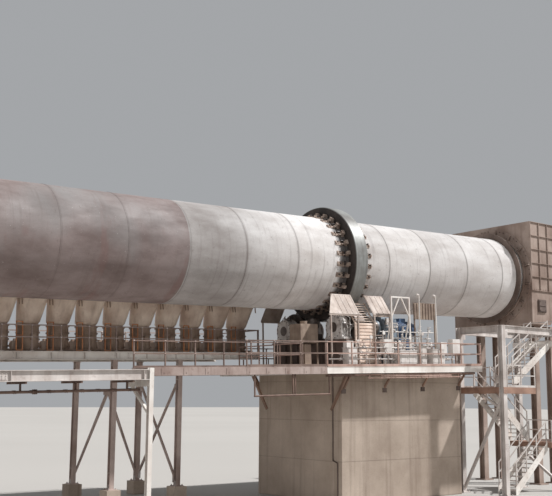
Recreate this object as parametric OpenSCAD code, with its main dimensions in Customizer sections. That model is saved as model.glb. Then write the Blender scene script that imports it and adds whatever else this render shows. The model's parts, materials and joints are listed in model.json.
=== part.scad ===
// Rotary kiln on two roller stations, a 1:2 scale model, from ground level up.
// +X runs along the kiln towards its feed end, +Y away from the stair side, +Z up.
// The origin lies at ground level, straight under the middle of the feed tyre.

/* [Kiln shell] */
// Outer diameter of the shell
shell_d = 2200; // [2100:20:2300]
// Thickness of the shell's steel
shell_t = 25; // [16:1:40]
// Thickness of the refractory lining
lining_t = 90; // [60:5:120]
// Rise of the kiln axis towards the feed end, in percent
slope_percent = 3; // [2.5:0.1:3.5]
// Height of the kiln axis above the ground at the feed tyre
axis_h = 5400; // [5300:10:5500]
// Length of shell beyond the feed tyre
feed_overhang = 6420; // [6300:10:6500]
// Distance between the two tyres
tyre_span = 15000; // [14900:10:15100]
// Length of shell beyond the discharge tyre
discharge_overhang = 5000; // [4900:10:5200]
// Distance of the first weld seam downhill of the feed tyre
seam_down = 1670; // [1640:5:1700]
// Distance of the last weld seam uphill of the discharge tyre
seam_low = 620; // [590:5:650]
// Number of welded shell courses between those two seams
course_count = 9; // [8:1:9]
// Distance of the first weld seam uphill of the feed tyre
seam_up = 1190; // [1100:10:1250]
// Height of a weld bead over the shell
bead_h = 4; // [2:1:8]

/* [Tyres and rollers] */
// Outer diameter of a tyre
tyre_d = 2740; // [2680:10:2800]
// Width of a tyre
tyre_w = 380; // [340:10:420]
// Thickness of the pads between the shell and a tyre
pad_t = 17; // [12:1:24]
// Number of pads round a tyre
pad_count = 28; // [24:1:30]
// Diameter of a support roller
roller_d = 850; // [800:10:900]
// How much wider a support roller is than the tyre
roller_extra_w = 60; // [40:10:80]
// Diameter of a support roller's shaft
shaft_d = 230; // [200:10:250]
// Angle of a support roller from straight below the axis
roller_angle = 30; // [29:0.25:31]
// Length of a bearing housing along its shaft
bearing_l = 250; // [220:10:280]
// Gap between a roller's side and its bearing housing
bearing_gap = 45; // [30:5:60]

/* [Piers and platforms] */
// Distance from the kiln axis to the top of a pier
pier_drop = 2460; // [2420:5:2500]
// Width of a pier across the kiln
pier_w = 2950; // [2900:10:3000]
// Length of a pier downhill of its tyre
pier_down = 765; // [740:5:800]
// Length of the feed pier uphill of its tyre
feed_pier_up = 3105; // [3000:5:3120]
// Length of the discharge pier uphill of its tyre
discharge_pier_up = 1100; // [1000:10:1150]
// Overhang of a platform past its pier across the kiln
deck_side = 475; // [450:5:500]
// Overhang of a platform past its pier's downhill end
deck_down = 835; // [800:5:870]
// Overhang of a platform past its pier's uphill end
deck_up = 300; // [250:5:320]
// Thickness of a platform deck
deck_t = 40; // [30:5:60]
// Depth of the edge beam round a platform
edge_beam_h = 150; // [120:5:180]
// Height of the hand rails
rail_h = 535; // [500:5:560]

/* [Walkway and service girder] */
// Width of the walkway along the kiln
walk_w = 800; // [700:10:850]
// Length of the walkway from the platform's end
walk_l = 4200; // [4000:50:4400]
// Depth of the service girder's beams
girder_h = 190; // [160:5:220]

/* [Fan gallery] */
// Pitch of the shell cooling fans
fan_pitch = 665; // [655:5:675]
// Number of shell cooling fans
fan_count = 18; // [10:1:18]
// Height of the fan deck's top above the ground at the feed tyre
fan_deck_h = 3350; // [3300:5:3400]
// Distance of the fans behind the kiln axis
fan_y = 1620; // [1600:5:1660]
// Distance of the fan deck's front edge behind the kiln axis
fan_deck_y = 1200; // [1180:5:1220]
// Width of the fan deck
fan_deck_w = 1900; // [1800:20:2000]
// Height of a fan's round casing
fan_case_h = 545; // [500:5:580]
// Height of a fan's flared nozzle
fan_nozzle_h = 800; // [760:10:820]
// Spacing of the gallery's leg frames
leg_pitch = 1650; // [1600:10:1680]
// Height of the concrete plinths under steel posts
plinth_h = 300; // [200:10:400]

/* [Stair tower] */
// Height of the main landing above the ground
landing_h = 2525; // [2480:5:2580]
// Height of the top landing above the ground
top_landing_h = 3700; // [3650:5:3740]
// Height of the middle landing above the ground
mid_landing_h = 1200; // [1150:5:1260]
// Height of the tower's posts
tower_h = 4000; // [3950:5:4040]
// Length of the stair tower along the kiln
tower_l = 2300; // [2250:10:2350]
// Width of the stair tower across the kiln
tower_w = 1300; // [1250:10:1350]
// Width of a stair flight over its stringers
flight_w = 530; // [500:5:535]

/* [Housings] */
// Length of the feed end chamber
chamber_l = 1500; // [1400:10:1600]
// Width of the feed end chamber
chamber_w = 2700; // [2600:10:2800]
// Length of the discharge hood
hood_l = 1500; // [1400:10:1700]
// Width of the discharge hood
hood_w = 2800; // [2700:10:3000]

/* [Hidden] */
$fn = 96;
seat = 0.4;
run_gap = 0.05;
contact_gap = 0.3;
tilt = atan(slope_percent / 100);
shell_r = shell_d / 2;
lining_r = shell_r - shell_t - seat;
tyre_r = tyre_d / 2;
tyre_bore_r = shell_r + pad_t + 2 * seat;
roller_r = roller_d / 2;
shaft_r = shaft_d / 2;
roller_w = tyre_w + roller_extra_w;
roller_dist = tyre_r + roller_r + contact_gap;
roller_y = roller_dist * sin(roller_angle);
roller_z = -roller_dist * cos(roller_angle);
bearing_x = roller_w / 2 + bearing_gap + bearing_l / 2;
shaft_end = bearing_x + bearing_l / 2 + 20;
housing_r = shaft_r + 130;
bearing_foot = housing_r + 30;
base_top = roller_z - bearing_foot - seat;
station_drop = pier_drop - seat;
shell_start = -tyre_span - discharge_overhang;
course_l = (tyre_span - seam_down - seam_low) / course_count;
deck_w = pier_w + 2 * deck_side;
deck_front = -deck_w / 2;
bar = 24;
plate = 12;
leg = 110;

FEED = 0;
DISCHARGE = -tyre_span;
SIDES = [-1, 1];

// Frames

function plane_z(x, drop) = axis_h + x * tan(tilt) - drop / cos(tilt);
function deck_z(x) = plane_z(x, pier_drop);
function fan_deck_z(x) = fan_deck_h + x * tan(tilt);

// Everything square to the kiln axis, from a point on the axis over ground position x
module on_axis(x = 0) {
    translate([x, 0, axis_h + x * tan(tilt)]) rotate([0, -tilt, 0]) children();
}

// Everything that stands on the sloping deck plane, from ground position x
module on_deck(x = 0) {
    translate([x, 0, deck_z(x)]) rotate([0, -tilt, 0]) children();
}

module on_fan_deck(x = 0) {
    translate([x, 0, fan_deck_z(x)]) rotate([0, -tilt, 0]) children();
}

module along_x() {
    rotate([0, 90, 0]) children();
}

// A profile drawn with Y to the right and Z up, stretched along +X
module sweep_x(l) {
    rotate([90, 0, 90]) linear_extrude(l) children();
}

// A profile drawn with X to the right and Z up, stretched along +Y
module sweep_y(l) {
    translate([0, l, 0]) rotate([90, 0, 0]) linear_extrude(l) children();
}

module ring_x(points, fn = 160) {
    along_x() rotate_extrude($fn = fn) polygon(points);
}

// Steel sections

module h_profile(b, h, t = plate) {
    square([t, h], center = true);
    for (s = SIDES) translate([0, s * (h - t) / 2]) square([b, t], center = true);
}

module h_post(l, b = leg, t = plate) {
    linear_extrude(l) h_profile(b, b, t);
}

// Beams hang below the line that they start from
module beam_x(l, b, h) {
    sweep_x(l) translate([0, -h / 2]) h_profile(b, h);
}

module beam_y(l, b, h) {
    sweep_y(l) translate([0, -h / 2]) h_profile(b, h);
}

module strut(from, to, t = 50) {
    d = to - from;
    l = norm(d);
    translate(from) rotate([0, acos(d[2] / l), atan2(d[1], d[0])])
        translate([-t / 2, -t / 2, 0]) cube([t, t, l]);
}

// A straight run of hand rail along +X, its posts standing on the plane z = 0
module rail_x(l, pitch = 700, toe = true) {
    bays = max(1, round(l / pitch));
    step = (l - bar) / bays;
    for (i = [0 : bays]) translate([i * step, 0, seat]) cube([bar, bar, rail_h - seat]);
    for (z = [rail_h - bar, rail_h * 0.5]) translate([0, 0, z]) cube([l, bar, bar]);
    if (toe) translate([0, 0, seat]) cube([l, 6, 50]);
}

module rail_y(l, pitch = 700, toe = true) {
    mirror([1, -1, 0]) rail_x(l, pitch, toe);
}

// Rotating kiln

// Seams lie a course apart downhill and uphill of the feed tyre, clear of both tyres' pads
function seam_below(i) = -seam_down - i * course_l;
function seam_above(i) = seam_up + i * course_l;

SEAMS = concat([for (i = [0 : course_count + 3]) seam_below(i)], [for (i = [0 : 3]) seam_above(i)]);

// One stretch of shell from x0 to x1, with a weld bead over each seam in it and at its uphill end
module shell(x0, x1) {
    bead_w = 22;
    color([0.62, 0.58, 0.56]) on_axis() difference() {
        union() {
            translate([x0, 0, 0]) along_x() cylinder(r = shell_r, h = x1 - x0 - seat, $fn = 160);
            for (x = SEAMS) if (x > x0 + 1 && x < x1 + 1)
                translate([x - bead_w, 0, 0]) along_x()
                    cylinder(r = shell_r + bead_h, h = bead_w - seat, $fn = 160);
        }
        translate([x0 - 1, 0, 0]) along_x() cylinder(r = shell_r - shell_t, h = x1 - x0 + 2, $fn = 160);
    }
}

module kiln_lining() {
    l = feed_overhang - shell_start - 20;
    color([0.46, 0.38, 0.33]) on_axis() translate([shell_start + 10, 0, 0])
        ring_x([[lining_r - lining_t, 0], [lining_r, 0], [lining_r, l], [lining_r - lining_t, l]]);
}

module tyre(x) {
    chamfer = 22;
    hw = tyre_w / 2;
    color([0.32, 0.3, 0.29]) on_axis(x)
        ring_x([[tyre_bore_r, -hw], [tyre_r - chamfer, -hw], [tyre_r, -hw + chamfer],
                [tyre_r, hw - chamfer], [tyre_r - chamfer, hw], [tyre_bore_r, hw]]);
}

// Pads under a tyre, each with a stop block on both sides of it and a lug on both ends
module tyre_pads(x) {
    pad_b = 105;
    down = 350;
    up = 340;
    block_h = 88;
    block_l = 110;
    side_gap = 4;
    lug = 40;
    color([0.5, 0.42, 0.36]) on_axis(x)
        for (i = [0 : pad_count - 1]) rotate([360 * (i + 0.5) / pad_count, 0, 0])
            translate([0, 0, shell_r + seat]) {
                translate([-tyre_w / 2 - down, -pad_b / 2, 0])
                    cube([tyre_w + down + up, pad_b, pad_t - 1.4]);
                for (s = SIDES)
                    translate([s * (tyre_w / 2 + side_gap + block_l / 2) - block_l / 2, -32, 0])
                        cube([block_l, 64, block_h]);
                for (u = [-tyre_w / 2 - down, tyre_w / 2 + up - lug]) translate([u, -lug / 2, 0])
                    cube([lug, lug, lug + 2]);
            }
}

module feed_seal_ring() {
    r0 = shell_r + seat;
    color([0.4, 0.36, 0.33]) on_axis() translate([feed_overhang - 450, 0, 0])
        ring_x([[r0, 0], [shell_r + 150, 0], [shell_r + 150, 24],
                [shell_r + 40, 24], [shell_r + 40, 150], [r0, 150]]);
}

module nose_ring() {
    r0 = shell_r + seat;
    color([0.35, 0.3, 0.28]) on_axis() translate([shell_start + 40, 0, 0])
        ring_x([[r0, 0], [shell_r + 70, 0], [shell_r + 70, 420], [shell_r + 46, 450], [r0, 450]]);
}

// Roller stations, drawn round a tyre at the local origin

module roller(x, side, stub = 0) {
    chamfer = 14;
    hw = roller_w / 2;
    web_r = roller_r - 70;
    hub_r = shaft_r + 60;
    half = [[0, hw + 24], [hub_r, hw + 24], [hub_r, hw - 40], [web_r, hw - 40], [web_r, hw],
            [roller_r - chamfer, hw], [roller_r, hw - chamfer]];
    color([0.45, 0.43, 0.42]) on_axis(x) translate([0, side * roller_y, roller_z]) {
        ring_x(concat([for (p = half) [p[0], -p[1]]], [for (i = [6 : -1 : 0]) half[i]]), 128);
        translate([-shaft_end, 0, 0]) along_x() cylinder(r = shaft_r, h = 2 * shaft_end + stub);
        if (stub > 0) translate([shaft_end + stub - 60, 0, 0]) along_x() cylinder(r = shaft_r + 75, h = 60);
    }
}

// A housing of round cap over a splayed foot
module housing_profile() {
    foot_w = 2 * housing_r + 150;
    translate([-foot_w / 2, -bearing_foot]) square([foot_w, 55]);
    polygon([[-housing_r - 40, -bearing_foot], [housing_r + 40, -bearing_foot],
             [housing_r, 0], [-housing_r, 0]]);
    circle(r = housing_r);
}

module bearings(x) {
    color([0.55, 0.53, 0.52]) on_axis(x) for (side = SIDES, end = SIDES)
        translate([end * bearing_x, side * roller_y, roller_z]) difference() {
            union() {
                translate([-bearing_l / 2, 0, 0]) sweep_x(bearing_l) housing_profile();
                for (u = [-bearing_l / 2 - 14, bearing_l / 2 - 26]) translate([u, 0, 0])
                    along_x() cylinder(r = housing_r + 22, h = 40);
            }
            translate([-bearing_l, 0, 0]) along_x() cylinder(r = shaft_r + run_gap, h = 2 * bearing_l);
        }
}

// Two cross girders with stiffeners, tied by two rails, that carry the bearings on the pier
module base_frame(x) {
    bottom = -station_drop;
    h = base_top - bottom;
    reach = roller_y + housing_r + 190;
    stiffeners = 6;
    color([0.42, 0.38, 0.36]) on_axis(x) {
        for (end = SIDES) translate([end * bearing_x, -reach, bottom]) {
            translate([-bearing_l / 2 - 30, 0, h - 40]) cube([bearing_l + 60, 2 * reach, 40]);
            translate([-bearing_l / 2 - 60, 0, 0]) cube([bearing_l + 120, 2 * reach, 40]);
            for (w = [-70, 50]) translate([w, 0, 0]) cube([20, 2 * reach, h]);
            for (i = [0 : stiffeners])
                translate([-bearing_l / 2, i * (2 * reach - 20) / stiffeners, 0]) cube([bearing_l, 20, h]);
        }
        for (side = SIDES)
            translate([-bearing_x, side * roller_y - 90, bottom]) cube([2 * bearing_x, 180, 60]);
    }
}

// A flat plate from a top edge at (y0, z0) out and down to (y1, z1),
// its outline drawn along X and down the slope
module sloped_plate(y0, z0, y1, z1, t, top, foot) {
    slope_l = norm([y1 - y0, z1 - z0]);
    side = sign(y0);
    translate([0, y0, z0]) rotate([atan2(abs(y1 - y0), z0 - z1) * side, 0, 0])
        translate([0, side * t / 2, 0])
        sweep_y_centred(t) polygon([[top[0], 0], [top[1], 0], [foot[1], -slope_l], [foot[0], -slope_l]]);
}

module sweep_y_centred(l) {
    translate([0, -l / 2, 0]) sweep_y(l) children();
}

// Inclined plates, fused with their posts, that keep the shell's heat off the bearings
module heat_shields(x, ends) {
    t = 14;
    top_y = shell_r + 30;
    low_y = roller_y + roller_r + 120;
    top_z = -830;
    low_z = -1300;
    from_x = tyre_w / 2 + 20;
    l = 590;
    flare = 330;
    color([0.5, 0.44, 0.38]) on_axis(x) for (side = SIDES, end = ends) mirror([end > 0 ? 0 : 1, 0, 0]) {
        spread = end < 0 && side < 0 ? flare : 0;
        sloped_plate(side * top_y, top_z, side * low_y, low_z, t, [from_x, from_x + l],
            [from_x, from_x + l + spread]);
        for (px = [from_x + 30, from_x + l + spread - 70])
            translate([px, side * (low_y - 10) - 15, -station_drop])
            cube([30, 30, station_drop + low_z + 12]);
        translate([from_x + 5, side * (low_y - 10) - 15, low_z - 30]) cube([l + spread - 10, 30, 38]);
    }
}

// Upright ribbed screen beside the drive
module drive_screen() {
    w = 800;
    ribs = 8;
    y = -1180;
    low = 1130;
    top = 1530;
    color([0.52, 0.46, 0.41]) on_axis() translate([1820, y, -station_drop]) {
        translate([0, 0, low]) cube([w, 10, top - low]);
        for (i = [0 : ribs - 1]) translate([i * w / ribs + 20, -14, low + 4]) cube([45, 15, top - low - 8]);
        for (u = [30, w - 60]) translate([u, 9, 0]) cube([30, 30, top - 20]);
    }
}

// Slatted guard over the front of the feed station's front roller
module roller_guard() {
    w = 620;
    shift = -30;
    front_y = -roller_y - roller_r - 92;
    back_y = front_y + 320;
    knee = 1000;
    top = 1470;
    slat = 34;
    slats = 12;
    steps = 8;
    color([0.74, 0.7, 0.66]) on_axis() translate([shift - w / 2, 0, -pier_drop]) {
        for (u = [0, w - bar]) translate([u, 0, 0]) {
            translate([0, front_y, seat]) cube([bar, bar, knee]);
            sweep_x(bar)
                polygon([[front_y, knee - 20], [front_y + 30, knee - 20],
                         [back_y + 30, top], [back_y, top]]);
        }
        for (i = [0 : slats - 1])
            translate([0, front_y, 110 + i * (knee - 170) / (slats - 1)]) cube([w, 10, slat]);
        for (i = [0 : steps - 1]) let (f = (i + 0.5) / steps)
            translate([0, front_y + f * (back_y - front_y), knee + f * (top - knee) - 10])
                cube([w, 30, 12]);
    }
}

// Thrust roller that checks the tyre's downhill side, on top of the base frame's cross girder
module thrust_roller() {
    r = 175;
    side_gap = 6;
    u = -tyre_w / 2 - side_gap - r;
    top = -tyre_r + 70;
    color([0.45, 0.43, 0.42]) on_axis() translate([u, 0, base_top + seat]) {
        translate([-180, -260, 0]) cube([360, 520, 50]);
        translate([0, 0, 49]) cylinder(r = 130, h = 90);
        for (v = [-200, 170]) translate([-130, v, 49]) cube([240, 30, 110]);
        translate([0, 0, 138]) cylinder(r = 70, h = top - base_top - 138);
        translate([0, 0, top - base_top - 210]) cylinder(r = r, h = 180);
    }
}

coupling_l = 70;
drive_stub = 190;

// Friction drive: a gear case whose low-speed hub faces the front roller's coupling
module drive_reducer() {
    u = shaft_end + drive_stub + 6;
    foot = -station_drop;
    case_l = 420;
    case_w = 460;
    color([0.3, 0.42, 0.52]) on_axis() translate([u, -roller_y, 0]) {
        translate([0, 0, roller_z]) along_x() cylinder(r = shaft_r + 75, h = coupling_l);
        translate([coupling_l - 1, 0, roller_z]) along_x() cylinder(r = 90, h = 60);
        translate([coupling_l + 50, -case_w / 2, roller_z - 230]) cube([case_l, case_w, 440]);
        translate([coupling_l + 50, 0, roller_z + 205]) along_x() cylinder(r = 150, h = case_l);
        translate([coupling_l + 20, -case_w / 2 - 40, roller_z - 260]) cube([case_l + 60, case_w + 80, 40]);
        for (px = [coupling_l + 40, coupling_l + case_l - 60])
            translate([px, -case_w / 2, foot]) cube([90, case_w, roller_z - 250 - foot]);
    }
}

module drive_motor() {
    u = shaft_end + drive_stub + 6 + coupling_l + 50 + 420;
    foot = -station_drop;
    l = 520;
    r = 190;
    fins = 9;
    color([0.16, 0.27, 0.42]) on_axis() translate([u, -roller_y, roller_z - 20]) {
        translate([seat, 0, 0]) along_x() cylinder(r = 60, h = 140);
        translate([139, 0, 0]) along_x() cylinder(r = r, h = l);
        for (i = [0 : fins - 1]) translate([170 + i * (l - 80) / fins, 0, 0]) along_x()
            cylinder(r = r + 16, h = 18);
        translate([139 + l - 1, 0, 0]) along_x() cylinder(r = r - 30, h = 90);
        translate([250, -90, r - 10]) cube([200, 180, 90]);
        translate([180, -170, foot - roller_z + 20]) cube([420, 340, 120]);
        translate([200, -120, foot - roller_z + 100]) cube([380, 240, roller_z - foot - 100 - 60]);
    }
}

// Piers and platforms

module pier(x, up) {
    a = x - pier_down;
    b = x + up;
    color([0.55, 0.47, 0.4]) translate([0, -pier_w / 2, 0]) sweep_y(pier_w)
        polygon([[a, 0], [b, 0], [b, deck_z(b)], [a, deck_z(a)]]);
}

// Deck frame with cantilever brackets round a pier's top, which fills its hole
module platform(x, up) {
    a = -pier_down - deck_down;
    l = pier_down + up + deck_down + deck_up;
    reach = 430;
    arm = 60;
    root = 160;
    brackets = 4;
    edge = 40;
    color([0.78, 0.72, 0.67]) on_deck(x) difference() {
        union() {
            translate([a, deck_front, -deck_t]) cube([l, deck_w, deck_t]);
            for (y = [deck_front, -deck_front - edge]) translate([a, y, -edge_beam_h])
                cube([l, edge, edge_beam_h]);
            for (e = [a, a + l - edge]) translate([e, deck_front, -edge_beam_h])
                cube([edge, deck_w, edge_beam_h]);
            for (i = [0 : brackets - 1], s = SIDES)
                translate([-pier_down + 30 + i * (pier_down + up - 100) / (brackets - 1), 0, 0]) sweep_x(40)
                    polygon([[s * (deck_w / 2 - root), 1 - deck_t],
                             [s * (deck_w / 2 - root), 1 - deck_t - arm],
                             [s * (pier_w / 2 + seat), -reach - arm],
                             [s * (pier_w / 2 + seat), -reach]]);
            for (s = SIDES)
                strut([-pier_down - 32, s * (pier_w / 2 - 320), -935],
                      [-pier_down - 32, s * (deck_w / 2 - root - 30), -deck_t - 8], arm);
        }
        rotate([0, tilt, 0]) translate([-pier_down - seat, -pier_w / 2 - seat, -1000])
            cube([pier_down + up + 2 * seat, pier_w + 2 * seat, 1200]);
    }
}

// Rails round a platform, open at the walkway's end and cut back where the fan gallery crosses
module platform_rails(x, up, walkway_end, beside_gallery) {
    a = -pier_down - deck_down;
    l = pier_down + up + deck_down + deck_up;
    inset = 8;
    walk = walk_w + 20;
    cut = beside_gallery ? gallery_start + 56 - a - inset : 0;
    back = -deck_front - inset - bar;
    color([0.76, 0.68, 0.62]) on_deck(x) {
        translate([a + inset, deck_front + inset, 0]) rail_x(l - 2 * inset);
        translate([a + inset + cut, back, 0]) rail_x(l - 2 * inset - cut);
        for (e = [0, 1]) {
            first = e == walkway_end ? deck_front + walk : deck_front + inset + bar + 1;
            last = e == 0 && beside_gallery ? fan_deck_y - seat : back - 1;
            translate([e == 0 ? a + inset : a + l - inset - bar, first, 0]) rail_y(last - first);
        }
    }
}

// Portal with knee braces that lifts the drive's parts
module hoist_frame() {
    w = 620;
    h = 1600;
    y = deck_front + 290;
    t = 34;
    color([0.86, 0.84, 0.82]) on_deck() translate([650, y, seat]) {
        for (u = [0, w - t]) translate([u, 0, 0]) cube([t, t, h]);
        translate([0, 0, h - t]) cube([w, t, t]);
        for (s = [0, 1])
            strut([s * (w - t) + t / 2, t / 2, h - 480],
                  [w / 2 + (s - 0.5) * 60, t / 2, h - t / 2], 26);
        for (u = [0, w - t]) strut([u + t / 2, t / 2, h - 420], [u + t / 2, 330, 12], 26);
    }
}

module light_poles() {
    y = deck_front + 310;
    h = 1650;
    color([0.84, 0.82, 0.8]) on_deck() for (u = [1600, 2170]) translate([u, y, seat]) {
        translate([-50, -50, 0]) cube([100, 100, 12]);
        cylinder(r = 15, h = h, $fn = 24);
        translate([0, 0, h - 20]) rotate([-60, 0, 0]) cylinder(r = 40, h = 70, $fn = 24);
    }
}

module cabinet(size, pos) {
    translate([pos[0], pos[1], seat]) {
        cube([size[0], size[1], 40]);
        translate([8, 8, 39]) cube([size[0] - 16, size[1] - 16, size[2] - 39]);
        translate([-6, -6, size[2] - 1]) cube([size[0] + 12, size[1] + 12, 14]);
    }
}

module control_cabinets() {
    color([0.84, 0.82, 0.8]) on_deck() {
        cabinet([300, 170, 395], [-950, deck_front + 70]);
        cabinet([590, 200, 345], [640, deck_front + 50]);
        cabinet([190, 160, 450], [1350, deck_front + 60]);
        cabinet([420, 200, 380], [1720, deck_front + 50]);
    }
}

// Oil unit on its stand at the platform's downhill end
module oil_unit() {
    past_pier = 715;
    behind_edge = 990;
    color([0.5, 0.36, 0.26]) on_deck() translate([-pier_down - past_pier, deck_front + behind_edge, seat]) {
        for (u = [0, 470], v = [0, 350]) translate([u, v, 0]) cube([30, 30, 560]);
        translate([-10, -10, 540]) cube([520, 400, 20]);
        translate([0, 0, 559]) cube([500, 380, 400]);
        translate([250, 190, 940]) cylinder(r = 80, h = 90, $fn = 32);
        translate([60, -60, 0]) cube([180, 200, 500]);
    }
}

// Walkway from the feed platform's downhill end to the first service post

walk_start = -pier_down - deck_down - seat;

module service_walkway() {
    beam_b = 70;
    color([0.76, 0.7, 0.68]) on_deck() translate([walk_end, deck_front, 0]) {
        translate([0, 0, -deck_t]) cube([walk_l, walk_w, deck_t]);
        for (y = [0, walk_w - beam_b]) translate([0, y, -edge_beam_h]) cube([walk_l, beam_b, edge_beam_h]);
        for (i = [1 : 5]) translate([i * walk_l / 6, 1, -edge_beam_h + 10])
            cube([50, walk_w - 2, edge_beam_h - 20]);
    }
}

module walkway_rails() {
    inset = 8;
    color([0.76, 0.68, 0.62]) on_deck() translate([walk_end, 0, 0]) {
        translate([walk_l - 2100, deck_front + inset, 0]) rail_x(2100 - inset);
        translate([inset, deck_front + walk_w - inset - bar, 0]) rail_x(walk_l - 2 * inset);
    }
}

girder_drop = 30;
walk_end = walk_start - walk_l;
service_post_b = 90;
first_post_x = walk_end * cos(tilt) - service_post_b / 2 - seat;
girder_u0 = DISCHARGE / cos(tilt) + discharge_pier_up + deck_up + seat;
girder_u1 = (first_post_x - service_post_b / 2 - seat - (girder_drop + girder_h) * sin(tilt)) / cos(tilt);
girder_l = girder_u1 - girder_u0;

// Deeper twin girder that carries the pipes on to the discharge station
module service_girder() {
    cross_beams = 9;
    color([0.74, 0.68, 0.67]) on_deck() translate([girder_u0, deck_front, -girder_drop]) {
        for (y = [45, walk_w - 45]) translate([0, y, 0]) beam_x(girder_l, 90, girder_h);
        for (i = [0 : cross_beams]) translate([50 + i * (girder_l - 100) / cross_beams, 50, -40])
            beam_y(walk_w - 100, 60, 90);
        translate([0, 90, -12]) cube([girder_l, walk_w - 180, 12]);
    }
}

last_post_x = girder_u0 * cos(tilt) + 200;
service_post_x = [first_post_x, (first_post_x + last_post_x) / 2, last_post_x];

// Posts under the front beam, each with an arm out to the back beam
module service_posts() {
    b = service_post_b;
    low_edge = (girder_drop + girder_h) / cos(tilt) + seat;
    below_deck = 3;
    arm_h = 120;
    color([0.8, 0.76, 0.74]) for (i = [0 : 2]) {
        x = service_post_x[i];
        top = i == 0 ? deck_z(x) - below_deck : deck_z(x - b / 2) - low_edge;
        arm_top = deck_z(x - b / 2) - low_edge;
        translate([x, deck_front + 45, plinth_h + seat]) {
            translate([-100, -100, 0]) cube([200, 200, 16]);
            h_post(top - plinth_h - seat, b);
        }
        translate([x - 30, deck_front + 45, arm_top - arm_h]) cube([60, walk_w - 45, arm_h]);
        strut([x, deck_front + 60, arm_top - 620], [x, deck_front + walk_w - 90, arm_top - arm_h + 10], 50);
    }
}

// Cooling water pipes: a pair under the feed platform, and a pair hung from the service girder
module water_pipes() {
    r = 24;
    y = deck_front + 52;
    l = girder_l - 200;
    hangers = 7;
    run_start = -pier_down - deck_down + 60;
    run_l = pier_down + deck_down + feed_pier_up;
    loop_drop = 570;
    pair_drop = 150;
    loop_l = 2000;
    loop_start = run_start + 50 - loop_l;
    color([0.5, 0.32, 0.24]) on_deck() {
        for (k = [0, 1]) translate([run_start, y + k * 60, -edge_beam_h - seat - r - 14 * k]) along_x()
            cylinder(r = r, h = run_l, $fn = 24);
        for (i = [0 : hangers])
            translate([run_start + 80 + i * (run_l - 180) / hangers, y - 10, -edge_beam_h - 2 * r])
            cube([16, 80, edge_beam_h + 2 * r - deck_t - seat]);
        translate([loop_start, y, -loop_drop]) along_x() cylinder(r = 18, h = loop_l, $fn = 24);
        for (u = [0, loop_l / 2 - 20, loop_l / 2 + 40]) translate([loop_start + u, y - 12, -loop_drop])
            cube([24, 24, loop_drop - edge_beam_h - seat]);
        translate([run_start + 30, y, -loop_drop])
            cylinder(r = 18, h = loop_drop - edge_beam_h - r, $fn = 24);
        translate([girder_u0 + 100, deck_front, -girder_drop - girder_h - seat]) {
            for (k = [0, 1]) translate([0, 200 + k * 80, -pair_drop - r]) along_x()
                cylinder(r = r, h = l, $fn = 24);
            for (i = [0 : hangers]) translate([160 + i * (l - 400) / hangers, 0, 0]) {
                translate([0, 10, -40]) cube([30, walk_w - 20, 40]);
                translate([0, 215, -pair_drop - 2 * r]) cube([20, 50, pair_drop + 2 * r - 30]);
            }
        }
    }
}

// Fan gallery behind the kiln

fan_first = -1036;
fans = min(fan_count, floor((tyre_span - discharge_pier_up + fan_first - 500) / fan_pitch));
gallery_end = -fans * fan_pitch + fan_first - 200;
gallery_start = fan_first + 60;
gallery_l = gallery_start - gallery_end;
row_front = fan_deck_y + 70;
row_back = fan_deck_y + fan_deck_w - 70;
fan_row_mid = (row_front + row_back) / 2;
row_reach = (row_back - row_front) / 2 - 40;
first_leg = 2224;
tower_pitch = 3 * leg_pitch;
leg_towers = floor((gallery_l - first_leg - 100) / tower_pitch) + 1;
gallery_beam_h = 175;

module gallery_deck() {
    h = gallery_beam_h;
    color([0.72, 0.66, 0.66]) on_fan_deck() translate([gallery_end, fan_deck_y, 0]) {
        translate([0, 0, -30]) cube([gallery_l, fan_deck_w, 30]);
        for (y = [45, fan_deck_w - 45]) translate([0, y, -14]) beam_x(gallery_l, 90, h - 14);
        for (i = [0 : 11]) translate([50 + i * (gallery_l - 100) / 11, 60, -25])
            beam_y(fan_deck_w - 120, 70, 110);
    }
}

module gallery_rails() {
    inset = 8;
    color([0.66, 0.5, 0.38]) on_fan_deck() translate([gallery_end, fan_deck_y, 0]) {
        for (y = [inset, fan_deck_w - inset - bar]) translate([inset, y, 0])
            rail_x(gallery_l - 2 * inset, 640, false);
        for (u = [inset, gallery_l - inset - bar]) translate([u, inset + bar + 1, 0])
            rail_y(fan_deck_w - 2 * (inset + bar + 1), 640, false);
    }
}

// Leg frames stand in braced pairs, the last one alone where only it has room
function frame_x(i) = gallery_start - first_leg - floor(i / 2) * tower_pitch - (i % 2) * leg_pitch;

FRAMES = [for (i = [0 : 2 * leg_towers - 1]) if (frame_x(i) > gallery_end * cos(tilt) + 90) i];

module gallery_legs() {
    drop = gallery_beam_h / cos(tilt) + seat;
    color([0.72, 0.66, 0.65]) for (i = FRAMES) {
        x = frame_x(i);
        foot = plinth_h + seat;
        for (y = [row_front, row_back]) translate([x, y, foot]) {
            translate([-110, -110, 0]) cube([220, 220, 16]);
            h_post(fan_deck_z(x - 80) - drop - foot, leg);
            translate([-80, -leg / 2, fan_deck_z(x - 80) - drop - foot - 14]) cube([160, leg, 14]);
        }
        if (i % 2 == 0) for (s = SIDES)
            strut([x, fan_row_mid - s * row_reach, foot + 120],
                  [x, fan_row_mid + s * row_reach, fan_deck_z(x) - 650], 46);
    }
    color([0.66, 0.58, 0.55]) for (i = FRAMES) if (i % 2 == 1) v_brace(frame_x(i), frame_x(i - 1));
}

// Inverted V brace with its gusset, between two legs of the back row
module v_brace(left, right) {
    t = 50;
    foot_z = plinth_h + 60;
    arm = 90;
    mid = (left + right) / 2;
    top = fan_deck_z(left) - 840;
    translate([0, row_back - t / 2, 0]) sweep_y(t) {
        polygon([[left, foot_z], [left, foot_z + arm], [mid - 40, top], [mid + 30, top]]);
        polygon([[right, foot_z], [right, foot_z + arm], [mid + 40, top], [mid - 30, top]]);
        translate([mid - 110, top - 80]) square([220, arm]);
    }
}

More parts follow.
